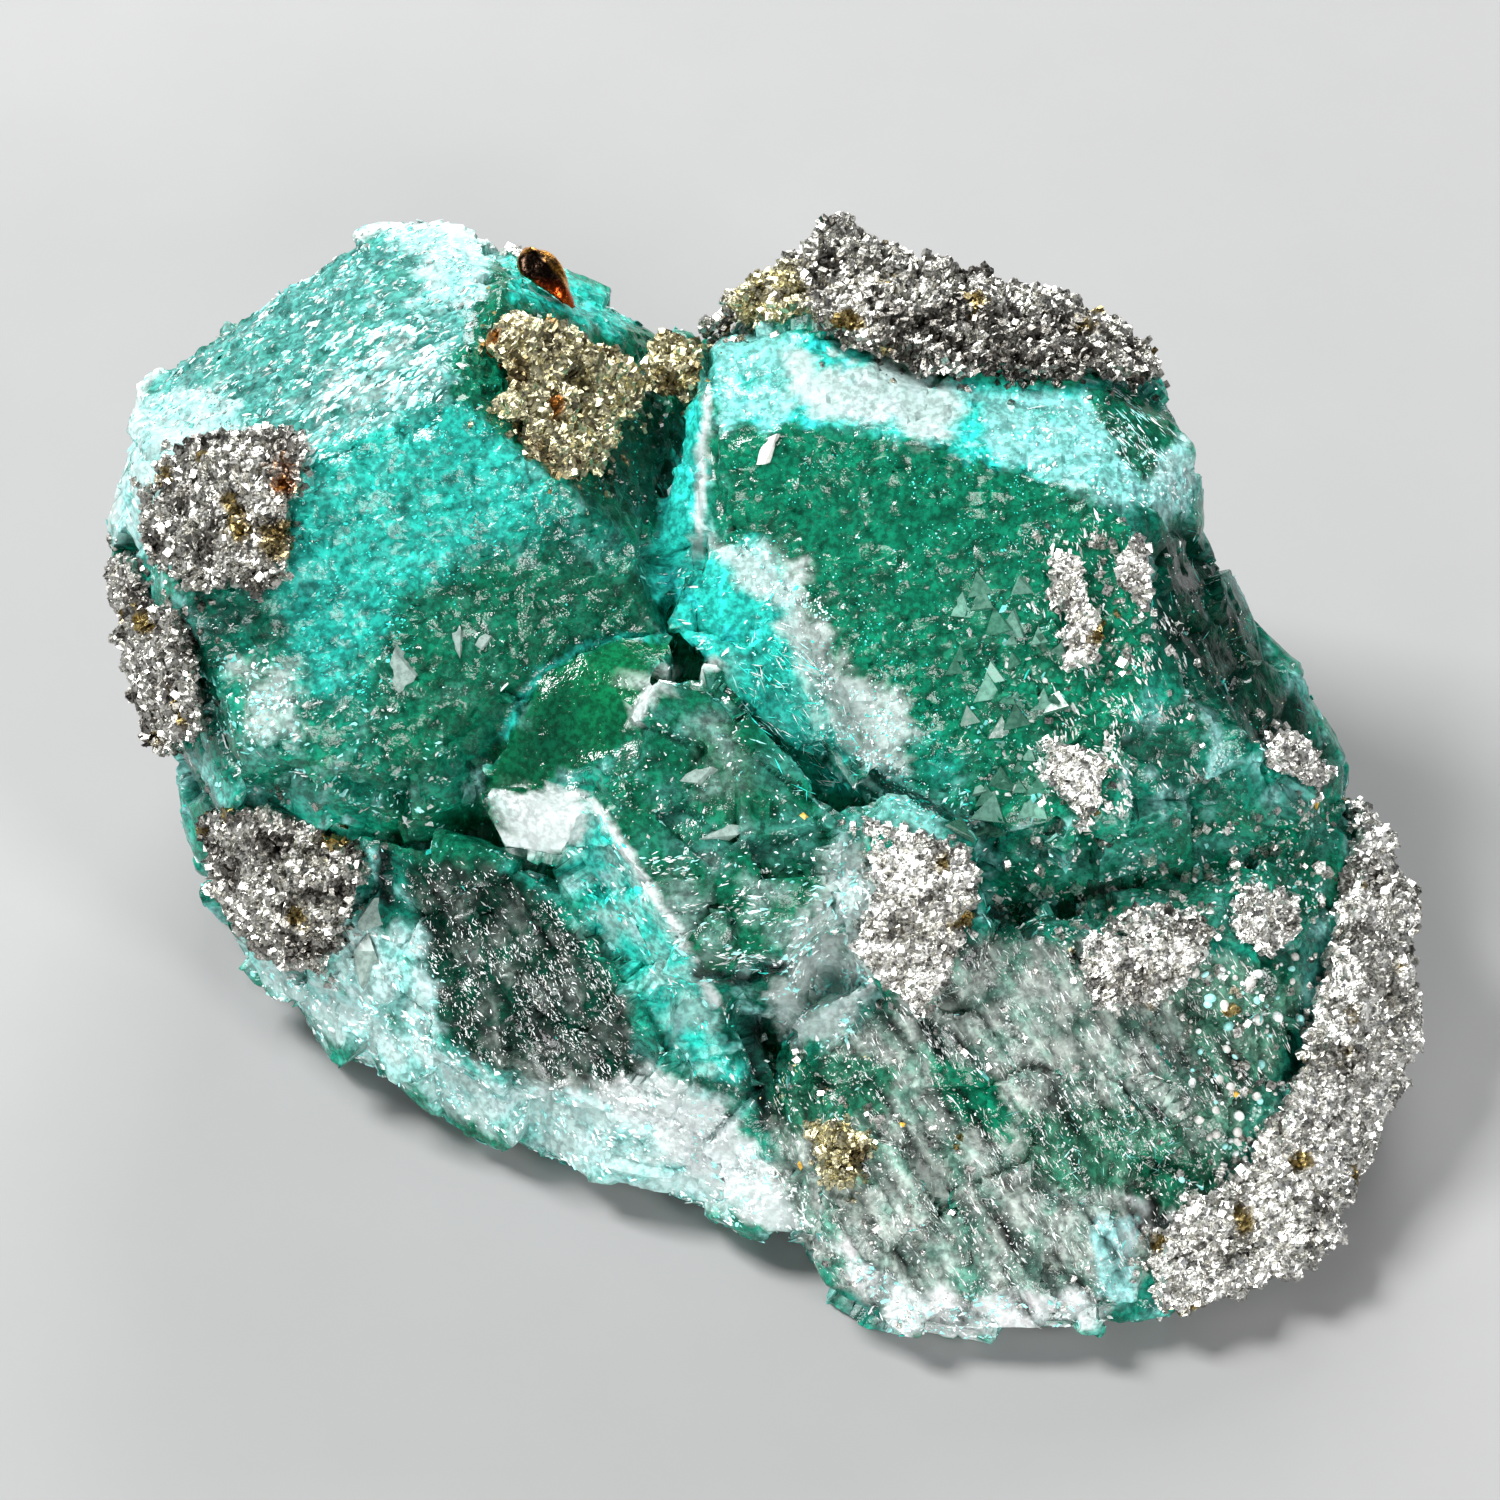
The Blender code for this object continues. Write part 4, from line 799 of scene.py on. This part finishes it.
# Each piece's strewings: area, flakes per square mm, length from and to in mm, width as a share of
# it, height in mm, direction and spread in degrees, tilt, colours
STREWN = {
    "flakes_left": (
        ("left_bevel", 17, (0.1, 0.65), 0.45, 0.07, (35, 35), 0.15, (MILK, PALE_TEAL, ICE, GREY)),
        ("bevel_fleck", 9, (0.4, 1.0), 0.5, 0.09, (40, 25), 0.15, WHITES),
        # Painted highlights: bright cyan and teal scales where the left face is lit.
        ("left_painted_light", 12, (0.10, 0.32), 0.5, 0.05, (32, 40), 0.25, (GLOW_CYAN, BRIGHT_TEAL, BRIGHT_TEAL)),
        ("left_face", 2.5, (0.06, 0.15), 0.6, 0.05, (32, 60), 0.3, (ICE, GLOW_CYAN, BRIGHT_TEAL)),
        ("left_flank", 3, (0.06, 0.18), 0.6, 0.05, (0, 90), 0.3, (GLOW_CYAN, BRIGHT_TEAL, TEAL)),
        ("frost_patch", 20, (0.12, 0.4), 0.6, 0.08, (0, 90), 0.4, WHITES),
        ("left_lower", 5, (0.15, 0.6), 0.5, 0.06, (20, 60), 0.3, (ICE, GREY, PALE_TEAL)),
        ("left_milk", 5, (0.15, 0.5), 0.4, 0.05, (80, 40), 0.2, (MILK, PALE_TEAL)),
        ("top_milk", 6, (0.15, 0.5), 0.4, 0.06, (60, 40), 0.2, WHITES),
        ("under_leaf", 3, (0.1, 0.4), 0.4, 0.05, (0, 90), 0.3, (PALE_TEAL, ICE)),
        ("lower_left", 8, (0.2, 0.7), 0.4, 0.07, (-50, 40), 0.3, (MILK, ICE, GREY)),
        ("striated", 48, (0.06, 0.42), 0.2, 0.05, (STRIATION_TURN, 28), 0.5, (MILK, MILK, SILVER)),
        ("lower_rim_light", 8, (0.15, 0.6), 0.45, 0.08, (-30, 50), 0.3, (MILK, ICE, MILK)),
        ("rim_highlight", 8, (0.15, 0.5), 0.5, 0.09, (-40, 50), 0.4, (MILK,)),
    ),
    "flakes_centre": (
        ("sill", 4, (0.2, 0.8), 0.25, 0.05, (25, 40), 0.3, (GLOW_CYAN, ICE, MILK)),
        ("fibres", 9, (0.4, 1.3), 0.06, 0.05, (-35, 40), 0.15, (ICE, GLOW_CYAN, MILK)),
        ("fibres", 8, (0.1, 0.3), 0.5, 0.05, (0, 90), 0.3, (ICE, GLOW_CYAN)),
        ("veil", 26, (0.08, 0.3), 0.6, 0.09, (0, 90), 0.5, (MILK, MILK, ICE)),
        ("veil_low", 12, (0.1, 0.5), 0.3, 0.06, (20, 60), 0.4, (ICE, MILK, GLOW_CYAN)),
        ("right_face", 10, (0.05, 0.15), 0.7, 0.05, (0, 90), 0.35, (ICE, GLOW_CYAN, BRIGHT_TEAL)),
        ("right_low", 6, (0.1, 0.3), 0.5, 0.05, (0, 90), 0.35, (ICE, GLOW_CYAN)),
        ("band_right", 10, (0.12, 0.4), 0.6, 0.07, (0, 90), 0.35, WHITES),
        ("band_left", 3, (0.2, 0.6), 0.4, 0.06, (60, 50), 0.3, WHITES),
        ("band_facet", 8, (0.3, 1.2), 0.08, 0.05, (-50, 8), 0.1, (ICE, MILK)),
        ("platelets", 4, (0.2, 0.6), 0.6, 0.05, (0, 90), 0.12, (GREY_GREEN, PALE_TEAL, GREY)),
        ("streaks", 20, (0.1, 0.8), 0.2, 0.07, (-62, 22), 0.3, (SILVER, MILK, GREY)),
        ("bright_hoof", 30, (0.2, 0.7), 0.4, 0.12, (-60, 50), 0.4, (MILK, SILVER)),
        ("side_face", 2.6, (0.05, 0.15), 0.8, 0.05, (0, 90), 0.3, (STRAW, ICE, BRIGHT_TEAL, MILK)),
        ("side_face", 0.8, (0.4, 1.4), 0.03, 0.03, (-20, 60), 0.05, (BRIGHT_TEAL, PALE_TEAL)),
        ("centre", 7, (0.08, 0.35), 0.5, 0.06, (10, 90), 0.3, (MILK, GREY, PALE_TEAL)),
        ("centre_low", 12, (0.2, 0.8), 0.25, 0.06, (10, 20), 0.3, (MILK, GREY, ICE)),
        ("centre_bevel", 6, (0.2, 0.8), 0.35, 0.07, (-55, 30), 0.3, (MILK, ICE, GLOW_CYAN)),
        ("centre_white", 12, (0.15, 0.6), 0.5, 0.09, (0, 90), 0.4, WHITES),
    ),
    "flakes_lower": (
        ("lower_right", 18, (0.08, 0.7), 0.12, 0.05, (STRIATION_TURN, 14), 0.3, (GREY, MILK, SILVER)),
        ("lower_right", 12, (0.06, 0.24), 0.6, 0.07, (0, 90), 0.4, (MILK, GREY, SILVER)),
        ("right_upper", 10, (0.08, 0.45), 0.5, 0.08, (0, 90), 0.4, (MILK, SILVER, PALE_TEAL)),
        ("green_left", 5, (0.1, 0.4), 0.4, 0.06, (0, 90), 0.4, (MILK, ICE, STRAW)),
        ("dark_band", 5, (0.3, 1.0), 0.05, 0.04, (0, 90), 0.2, (ICE, PALE_TEAL)),
        ("lower_white", 12, (0.15, 0.6), 0.5, 0.09, (0, 60), 0.4, WHITES),
    ),
}
BACK_FLAKES = ("", 1.7, (0.12, 1.0), 0.5, 0.07, (20, 90), 0.3, (MILK, ICE, PALE_TEAL, BRIGHT_TEAL))


def tinted(form, places, sizes, turns, colours):
    """Copies of a form, each with one of the colours at its own strength."""
    picks = np.array(colours)[random.integers(len(colours), size=len(places))]
    picks = picks * random.uniform(0.7, 1.1, len(places))[:, None]
    return many(form, places, sizes, turns, picks)


def picked(pool, density):
    """Random places of the pool and their normals, at a density per square mm."""
    picks = random.random(len(density)) < density * POOL_SHARE
    return pool[0][picks], pool[1][picks]


def strewn(pool, mask, clumps, row):
    """One area's flakes, which gather in clumps."""
    _, density, length, width, height, (turn, spread), tilt, colours = row
    places, normals = picked(pool, mask * clumps * density)
    count = len(places)
    lengths = between(length, random.random(count) ** 3)
    widths = lengths * width * random.uniform(0.5, 1.7, count)
    heights = np.full(count, height) * random.uniform(0.6, 1.4, count)
    sizes = np.stack((lengths, widths, heights), axis=1) / 2 * MM
    turns = laid(normals, turn, spread, tilt)
    forms = (SPECK,) if length[1] < SPECK_LENGTH or width < SPECK_WIDTH else FLAKES
    kinds = random.integers(len(forms), size=count)
    return [
        tinted(form, places[kinds == k], sizes[kinds == k], turns[kinds == k], colours)
        for k, form in enumerate(forms)
    ]


def build_flakes(pool):
    """The flakes of every area, as one joined mesh for each part of the specimen."""
    spots = to_side(pool[0])
    uv = spots[:, :2] + 0.5 * wander(spots, 0.9, 2.0, 9.0)
    facing = smooth(0.0, 0.3, pool[1] @ OUT)
    clumps = [0.15 + 1.7 * smooth(-0.15, 0.45, waves(spots, 1.1, shift)) for shift in CLUMP_SHIFTS]
    groups = {name: [] for name in STREWN}
    rows = [(name, row) for name, group in STREWN.items() for row in group]
    for index, (name, row) in enumerate(rows):
        mask = area(uv, row[0], 0.5) * facing
        groups[name] += strewn(pool, mask, clumps[index % len(clumps)], row)
    groups["flakes_back"] = strewn(pool, 1 - facing, clumps[0], BACK_FLAKES)
    groups["beads"] = beads(pool, area(uv, "beads", 0.4) * facing)
    groups["platelets"] = platelets(pool, area(uv, "platelets", 0.4) * facing)
    material = flake_material("frosted_flakes")
    for name, parts in groups.items():
        add_piece(name, parts, material)


def beads(pool, mask):
    """Round white beads beside the right-hand crust."""
    places, _ = picked(pool, mask * BEADS_PER_MM2)
    count = len(places)
    half = 0.08 + 0.2 * random.random((count, 1)) ** 2
    sizes = half * random.uniform(0.8, 1.2, (count, 3)) * MM
    return [tinted(BEAD, places, sizes, random_turns(count), (MILK, ICE, SILVER))]


def platelets(pool, mask):
    """Grey-green three-sided growth plates on the right-hand crystal."""
    places, normals = picked(pool, mask * PLATELETS_PER_MM2)
    count = len(places)
    half = random.uniform(0.3, 0.9, count)
    sizes = np.stack((half, half, np.full(count, 0.1)), axis=1) * MM
    turns = laid(normals, 0, 12, 0.0)
    return [tinted(PLATELET, places, sizes, turns, (PLATE_GREEN, PLATE_GREEN, GREY_GREEN))]


AMBER = (0.75, 0.42, 0.06)
CHIP_GREY = (0.22, 0.30, 0.27)
CHIP_LENGTH = 0.3  # shorter chips are simpler specks
CHIP_DROP = 60.0  # chips are laid from this far above the best side, in mm

# Each single chip: place on the photograph, half length and half width in mm, direction, colour
CHIPS = (
    ((408, 673), (1.35, 0.85), 100, CHIP_GREY),
    ((462, 641), (1.0, 0.4), 95, CHIP_GREY),
    ((488, 643), (0.5, 0.4), 40, CHIP_GREY),
    ((373, 915), (1.0, 0.8), 60, CHIP_GREY),
    ((366, 962), (1.3, 0.9), 75, CHIP_GREY),
    ((768, 452), (1.0, 0.45), 60, SILVER),
    ((700, 775), (0.9, 0.5), 20, CHIP_GREY),
    ((724, 832), (1.2, 0.5), 10, CHIP_GREY),
    ((505, 690), (0.5, 0.06), 50, MILK),
    ((803, 815), (0.22, 0.18), 0, AMBER),
    ((900, 1120), (0.25, 0.18), 30, AMBER),
    ((800, 1160), (0.3, 0.2), 80, AMBER),
    ((1230, 1090), (0.25, 0.2), 0, AMBER),
    ((1318, 803), (0.35, 0.25), 60, AMBER),
    ((490, 290), (0.16, 0.14), 0, PYRITE_STAIN),
    ((497, 317), (0.14, 0.12), 0, PYRITE_STAIN),
)


def build_chips(crystals):
    """Single flat chips and grains that stand out on the fluorite."""
    parts = []
    for index, (pixel, (length, width), turn, colour) in enumerate(CHIPS):
        place = crystals.ray_cast(side_point(*on_photo(pixel)[0], CHIP_DROP), Vector(-OUT))[0]
        near = [hit[1][:] for hit in crystals.find_nearest_range(place, MM)]
        turns = laid(unit(np.mean(near, axis=0)[None]), turn, 0, 0.0)
        sizes = np.array(((length, width, 0.1 + 0.1 * width),)) * MM
        form = FLAKES[index % len(FLAKES)] if length > CHIP_LENGTH else SPECK
        parts.append(many(form, np.array([place[:]]), sizes, turns, [colour]))
    add_piece("chips", parts, flake_material("chips"))


# The pyrite

BED_VOXEL = 0.2
GRAIN_SPACING = 0.3
GRAIN_HALF = (0.05, 0.17)
TINY_HALF = 0.09  # grains below this half size are simpler specks
GRAIN_ROOM = 1.2  # a grain needs this much open space above it, in mm
STRAY_REACH = 1.5  # how far from a crust, in mm, its stray grains lie
STRAY_FADE = 0.45  # over this distance, in mm, the strays become fewer
STRAY_HALF = (0.04, 0.16)
LOOSE_HALF = 0.05

# Each palette: slot, how light the painted shade in its crevices stays, and its bright, dull and stained
# colours
SILVERY = ("pyrite", 0.55, PYRITE_BRIGHT, PYRITE_DULL, PYRITE_STAIN)
GREYER = ("pyrite", 0.25, PYRITE_GREY, PYRITE_DARK, PYRITE_STAIN)
GOLDEN = ("pyrite_gold", 0.25, GOLD_BRIGHT, GOLD_DULL, GOLD_STAIN)

# Each crust: size of its lumps in mm, how lumpy it is, palette
CRUSTS = {
    "pyrite_crown": (1.3, 1.0, GREYER),
    "pyrite_flank": (1.2, 0.9, SILVERY),
    "pyrite_gold_cluster": (2.0, 1.3, GOLDEN),
    "pyrite_ball": (1.2, 0.6, GOLDEN),
    "pyrite_left_patch": (1.1, 1.1, GREYER),
    "pyrite_left_rim": (1.2, 1.1, GREYER),
    "pyrite_lower_left": (1.4, 0.8, GREYER),
    "pyrite_centre": (1.3, 0.8, SILVERY),
    "pyrite_streak_upper": (0.9, 0.8, SILVERY),
    "pyrite_streak_side": (0.9, 0.8, SILVERY),
    "pyrite_streak_lower": (0.9, 0.8, SILVERY),
    "pyrite_edge_patch": (0.9, 0.9, SILVERY),
    "pyrite_lower_patch": (1.0, 0.9, SILVERY),
    "pyrite_small_patch": (1.0, 0.9, SILVERY),
    "pyrite_foot": (1.0, 0.9, GOLDEN),
}

# Each marking of the pyrite: area, colour, strength, how patchy it is
PYRITE_MARKS = (
    ("crown_gold", GOLD_BRIGHT, 0.8, 0.8),
    ("crown_dark", PYRITE_DARK, 0.6, 1.2),
    ("patch_red", GOLD_STAIN, 0.8, 0.6),
    ("patch_olive", GOLD_DULL, 0.7, 0.6),
)


def pyrite_tints(spots, depth, palette):
    """Pyrite's colour at places: bright, dull in patches, stained in spots, and darkened towards near black
    where depth is low, as painted shade in its crevices.
    """
    places = to_side(spots * MM)
    patchy = waves(squeezed(places, -35.0, 2.5), 0.8, 5.0)
    _, _, bright, dull, stain = palette
    colours = np.tile(bright, (len(spots), 1))
    colours = blended(colours, smooth(0.05, 0.45, waves(spots, 1.7, 4.0)), dull)
    colours = blended(colours, smooth(0.45, 0.6, waves(spots, 1.6, 8.0)), stain)
    for name, colour, strength, patches in PYRITE_MARKS:
        share = smooth(0.1, 0.6, area(places[:, :2], name, 0.5) * (strength + patches * patchy))
        colours = blended(colours, share, colour)
    # Painted shade: near black where depth is low.
    return blended(colours, 1 - depth, CREVICE_SHADE)


def grains_at(places, half, colours):
    """Small pyrite crystals with their colours: cubes, and simpler grains where they are tiny."""
    sizes = half[:, None] * random.uniform(0.7, 1.3, (len(places), 3)) * MM
    turns = random_turns(len(places))
    tiny = half < TINY_HALF
    return [
        many(form, places[kind], sizes[kind], turns[kind], colours[kind])
        for form, kind in ((CUBE, ~tiny), (SPECK, tiny))
    ]


def stray_grains(bed, pool, palette):
    """Single crystals on the fluorite round a crust, fewer further out."""
    low, high = bed.min(axis=0) - STRAY_REACH * MM, bed.max(axis=0) + STRAY_REACH * MM
    near = ((pool[0] > low) & (pool[0] < high)).all(axis=1)
    places = pool[0][near]
    sample = bed[::8].tolist()
    tree = KDTree(len(sample))
    for index, point in enumerate(sample):
        tree.insert(point, index)
    tree.balance()
    gap = np.array([tree.find(place)[2] for place in places.tolist()]) / MM
    clump = smooth(-0.1, 0.5, waves(places / MM, 0.8, 3.0))
    share = 0.7 * clump * np.exp(-gap / STRAY_FADE) * (gap < STRAY_REACH)
    places = places[random.random(len(places)) < share]
    count = len(places)
    half = between(STRAY_HALF, random.random(count) ** 1.5)
    colours = pyrite_tints(places / MM, random.uniform(0.5, 1.0, count), palette)
    return grains_at(places, half, colours)


def build_crust(node, materials, crystals, pool):
    """A crust as a faceted, lumpy bed with small crystals set in it and strays beside it."""
    lump, lumpy, palette = CRUSTS[node]
    slot, light = palette[:2]
    obj = remeshed(node + "_bed", node, BED_VOXEL)
    points, normals, triangles = mesh_arrays(obj.data)
    bpy.data.objects.remove(obj, do_unlink=True)
    spots = points / MM
    coarse, border = facets(spots, lump, 3.0)
    fine, fine_border = facets(spots, 0.42, 6.0)
    crack = smooth(0.0, 0.16, border)
    hosts = np.array([crystals.find_nearest(point)[1][:] for point in points.tolist()])
    wall = smooth(0.85, 0.4, np.abs((normals * hosts).sum(axis=1)))
    rise = wall * (0.55 * waves(spots, 1.3, 2.0) + 0.35 * waves(spots, 0.6, 4.0) - 0.2)
    rise += lumpy * (0.30 * coarse + 0.30 * (crack - 0.8)) + 0.45 * fine + 0.10 * waves(spots, 0.3, 5.0)
    # Painted shade: the bed darkens in the cracks between its lumps, at the borders of its fine facets and
    # where those facets sink low.
    depth = light + 0.55 * crack + 1.6 * fine + 0.25 * smooth(0.0, 0.15, fine_border)
    bed = points + normals * (rise * MM)[:, None]
    bed_colours = pyrite_tints(spots, np.clip(depth, 0.0, 1.0), palette)
    places, ways = spread_points(bed, triangles, GRAIN_SPACING)
    hits = [crystals.ray_cast(*ray, GRAIN_ROOM * MM)[0] for ray in zip(places.tolist(), ways.tolist())]
    seen = [hit is None for hit in hits]
    places, ways = places[seen], ways[seen]
    count = len(places)
    half = between(GRAIN_HALF, random.random(count) ** 2)
    lift = random.uniform(-0.5, 0.35, count) * half
    # Painted shade: grains sunk deeper into the bed are darker.
    grain_unshaded = np.clip(0.75 + lift / 0.2, 0.3, 1.0)
    colours = pyrite_tints(places / MM, grain_unshaded, palette) * random.uniform(0.75, 1.1, (count, 1))
    grains = grains_at(places + ways * (lift * MM)[:, None], half, colours)
    strays = stray_grains(bed, pool, palette)
    parts = [(bed, triangles, bed_colours)] + grains + strays
    add_piece(node + "_crystals", parts, materials[slot], node)


# Each strewing of loose pyrite: area, grains per square mm, largest half size in mm
LOOSE = (
    ("right_upper", 5.0, 0.22),
    ("beads", 3.5, 0.2),
    ("lower_right", 1.2, 0.16),
    ("streaks", 2.5, 0.2),
    ("top_grains", 14.0, 0.25),
    ("green_left", 2.0, 0.18),
)


def build_loose_grains(material, pool):
    """Single pyrite grains and small clumps of them, away from the crusts."""
    spots = to_side(pool[0])
    facing = smooth(0.0, 0.3, pool[1] @ OUT)
    clumps = 2.2 * smooth(0.1, 0.5, waves(spots, 1.0, 21.0))
    parts = []
    for name, density, largest in LOOSE:
        places, _ = picked(pool, area(spots[:, :2], name, 0.6) * facing * clumps * density)
        count = len(places)
        half = between((LOOSE_HALF, largest), random.random(count) ** 1.5)
        colours = pyrite_tints(places / MM, random.uniform(0.6, 1.0, count), SILVERY)
        parts += grains_at(places, half, colours)
    add_piece("pyrite_loose_grains", parts, material)


def build_tarnished_grain(material):
    """The smooth, glossy, nearly black grain with an orange rim and a red foot."""
    obj = remeshed("pyrite_tarnished_grain_crystals", "pyrite_tarnished_grain", 0.12)
    changed(obj, "SMOOTH", factor=0.7, iterations=6)
    points, normals, _ = mesh_arrays(obj.data)
    spots = to_side(points)
    set_points(obj.data, points + normals * (0.05 * waves(spots, 0.7) * MM)[:, None])
    facing = normals @ OUT
    ragged = 0.25 * waves(spots, 0.6, 2.0)
    colours = np.tile(TARNISH_BLACK, (len(points), 1))
    colours = blended(colours, smooth(0.75, 0.35, facing + ragged), TARNISH_ORANGE)
    low = np.percentile(spots[:, 1], 35)
    colours = blended(colours, smooth(low + 0.3, low - 0.6, spots[:, 1] + ragged), TARNISH_RED)
    store_tint(obj, colours)
    obj.data.shade_smooth()
    finish_piece(obj, material, "pyrite_tarnished_grain")


def build_pyrite(crystals, pool):
    materials = {
        "pyrite": pyrite_material("pyrite", 0.22),
        "pyrite_gold": pyrite_material("pyrite_gold", 0.25),
    }
    for node in CRUSTS:
        build_crust(node, materials, crystals, pool)
    build_loose_grains(materials["pyrite"], pool)
    build_tarnished_grain(pyrite_material("pyrite_tarnished", 0.12))


# The studio

CAMERA_MIDDLE = (-0.45, 0.9, 0.0)  # what the photograph's middle shows, on the best side
LENS = 250.0
PHOTO_WIDTH = 1500
CLIPPING = (0.01, 10.0)
FLOOR_HALF = 1.5
FLOOR_DROP = 0.00002  # the floor lies this far under the specimen, in metres
FLOOR_SHADES = ((0.27, 0.27, 0.27, 1.0), (0.285, 0.285, 0.285, 1.0))
SKY = (0.9, 0.95, 1.0, 1.0)
SKY_STRENGTH = 0.15
LIGHT_TARGET = Vector((0.0, 0.0, 0.012))

# Each light: place and width in metres, power in watts
LIGHTS = {
    "key": ((-0.28, 0.10, 0.42), 0.16, 4.3),
    "back": ((0.05, 0.42, 0.22), 0.24, 2.3),
    "low": ((-0.10, -0.42, 0.10), 0.18, 1.5),
    "right": ((0.30, -0.34, 0.30), 0.12, 1.6),
}


def add_camera():
    data = bpy.data.cameras.new("camera")
    data.lens = LENS
    data.clip_start, data.clip_end = CLIPPING
    camera = linked("camera", data)
    distance = LENS / data.sensor_width * PHOTO_WIDTH * PIXEL * MM
    turn = Matrix((RIGHT, UP, OUT)).transposed().to_4x4()
    place = side_point(*CAMERA_MIDDLE) + Vector(OUT) * distance
    camera.matrix_world = Matrix.Translation(place) @ turn
    bpy.context.scene.camera = camera


def add_light(name, place, size, power):
    """A soft square light, aimed at the specimen."""
    data = bpy.data.lights.new(name, "AREA")
    data.shape = "SQUARE"
    data.size = size
    data.energy = power
    light = linked(name, data)
    light.location = place
    light.rotation_euler = (LIGHT_TARGET - light.location).to_track_quat("-Z", "Y").to_euler()


def add_floor():
    corners = np.array(((-1, -1, 0), (1, -1, 0), (1, 1, 0), (-1, 1, 0))) * FLOOR_HALF - (0, 0, FLOOR_DROP)
    mesh = bpy.data.meshes.new("floor")
    mesh.from_pydata(corners.tolist(), [], [(0, 1, 2, 3)])
    floor = linked("floor", mesh)
    nodes = Nodes("floor")
    nodes.set(Base_Color=nodes.mix(nodes.noise(6.0), *FLOOR_SHADES), Roughness=0.7)
    mesh.materials.append(nodes.material)


def add_world():
    world = bpy.data.worlds.new("studio")
    world.use_nodes = True
    background = world.node_tree.nodes["Background"]
    background.inputs["Color"].default_value = SKY
    background.inputs["Strength"].default_value = SKY_STRENGTH
    bpy.context.scene.world = world


def add_studio():
    add_camera()
    add_floor()
    add_world()
    for name, (place, size, power) in LIGHTS.items():
        add_light(name, place, size, power)
    bpy.context.scene.view_settings.view_transform = "Standard"


def main():
    add_studio()
    fluorite = build_fluorite()
    points, _, triangles = mesh_arrays(fluorite.data)
    pool = spread_points(points, triangles, POOL_SPACING)
    build_flakes(pool)
    crystals = BVHTree.FromPolygons(points.tolist(), triangles.tolist())
    build_chips(crystals)
    build_pyrite(crystals, pool)


main()
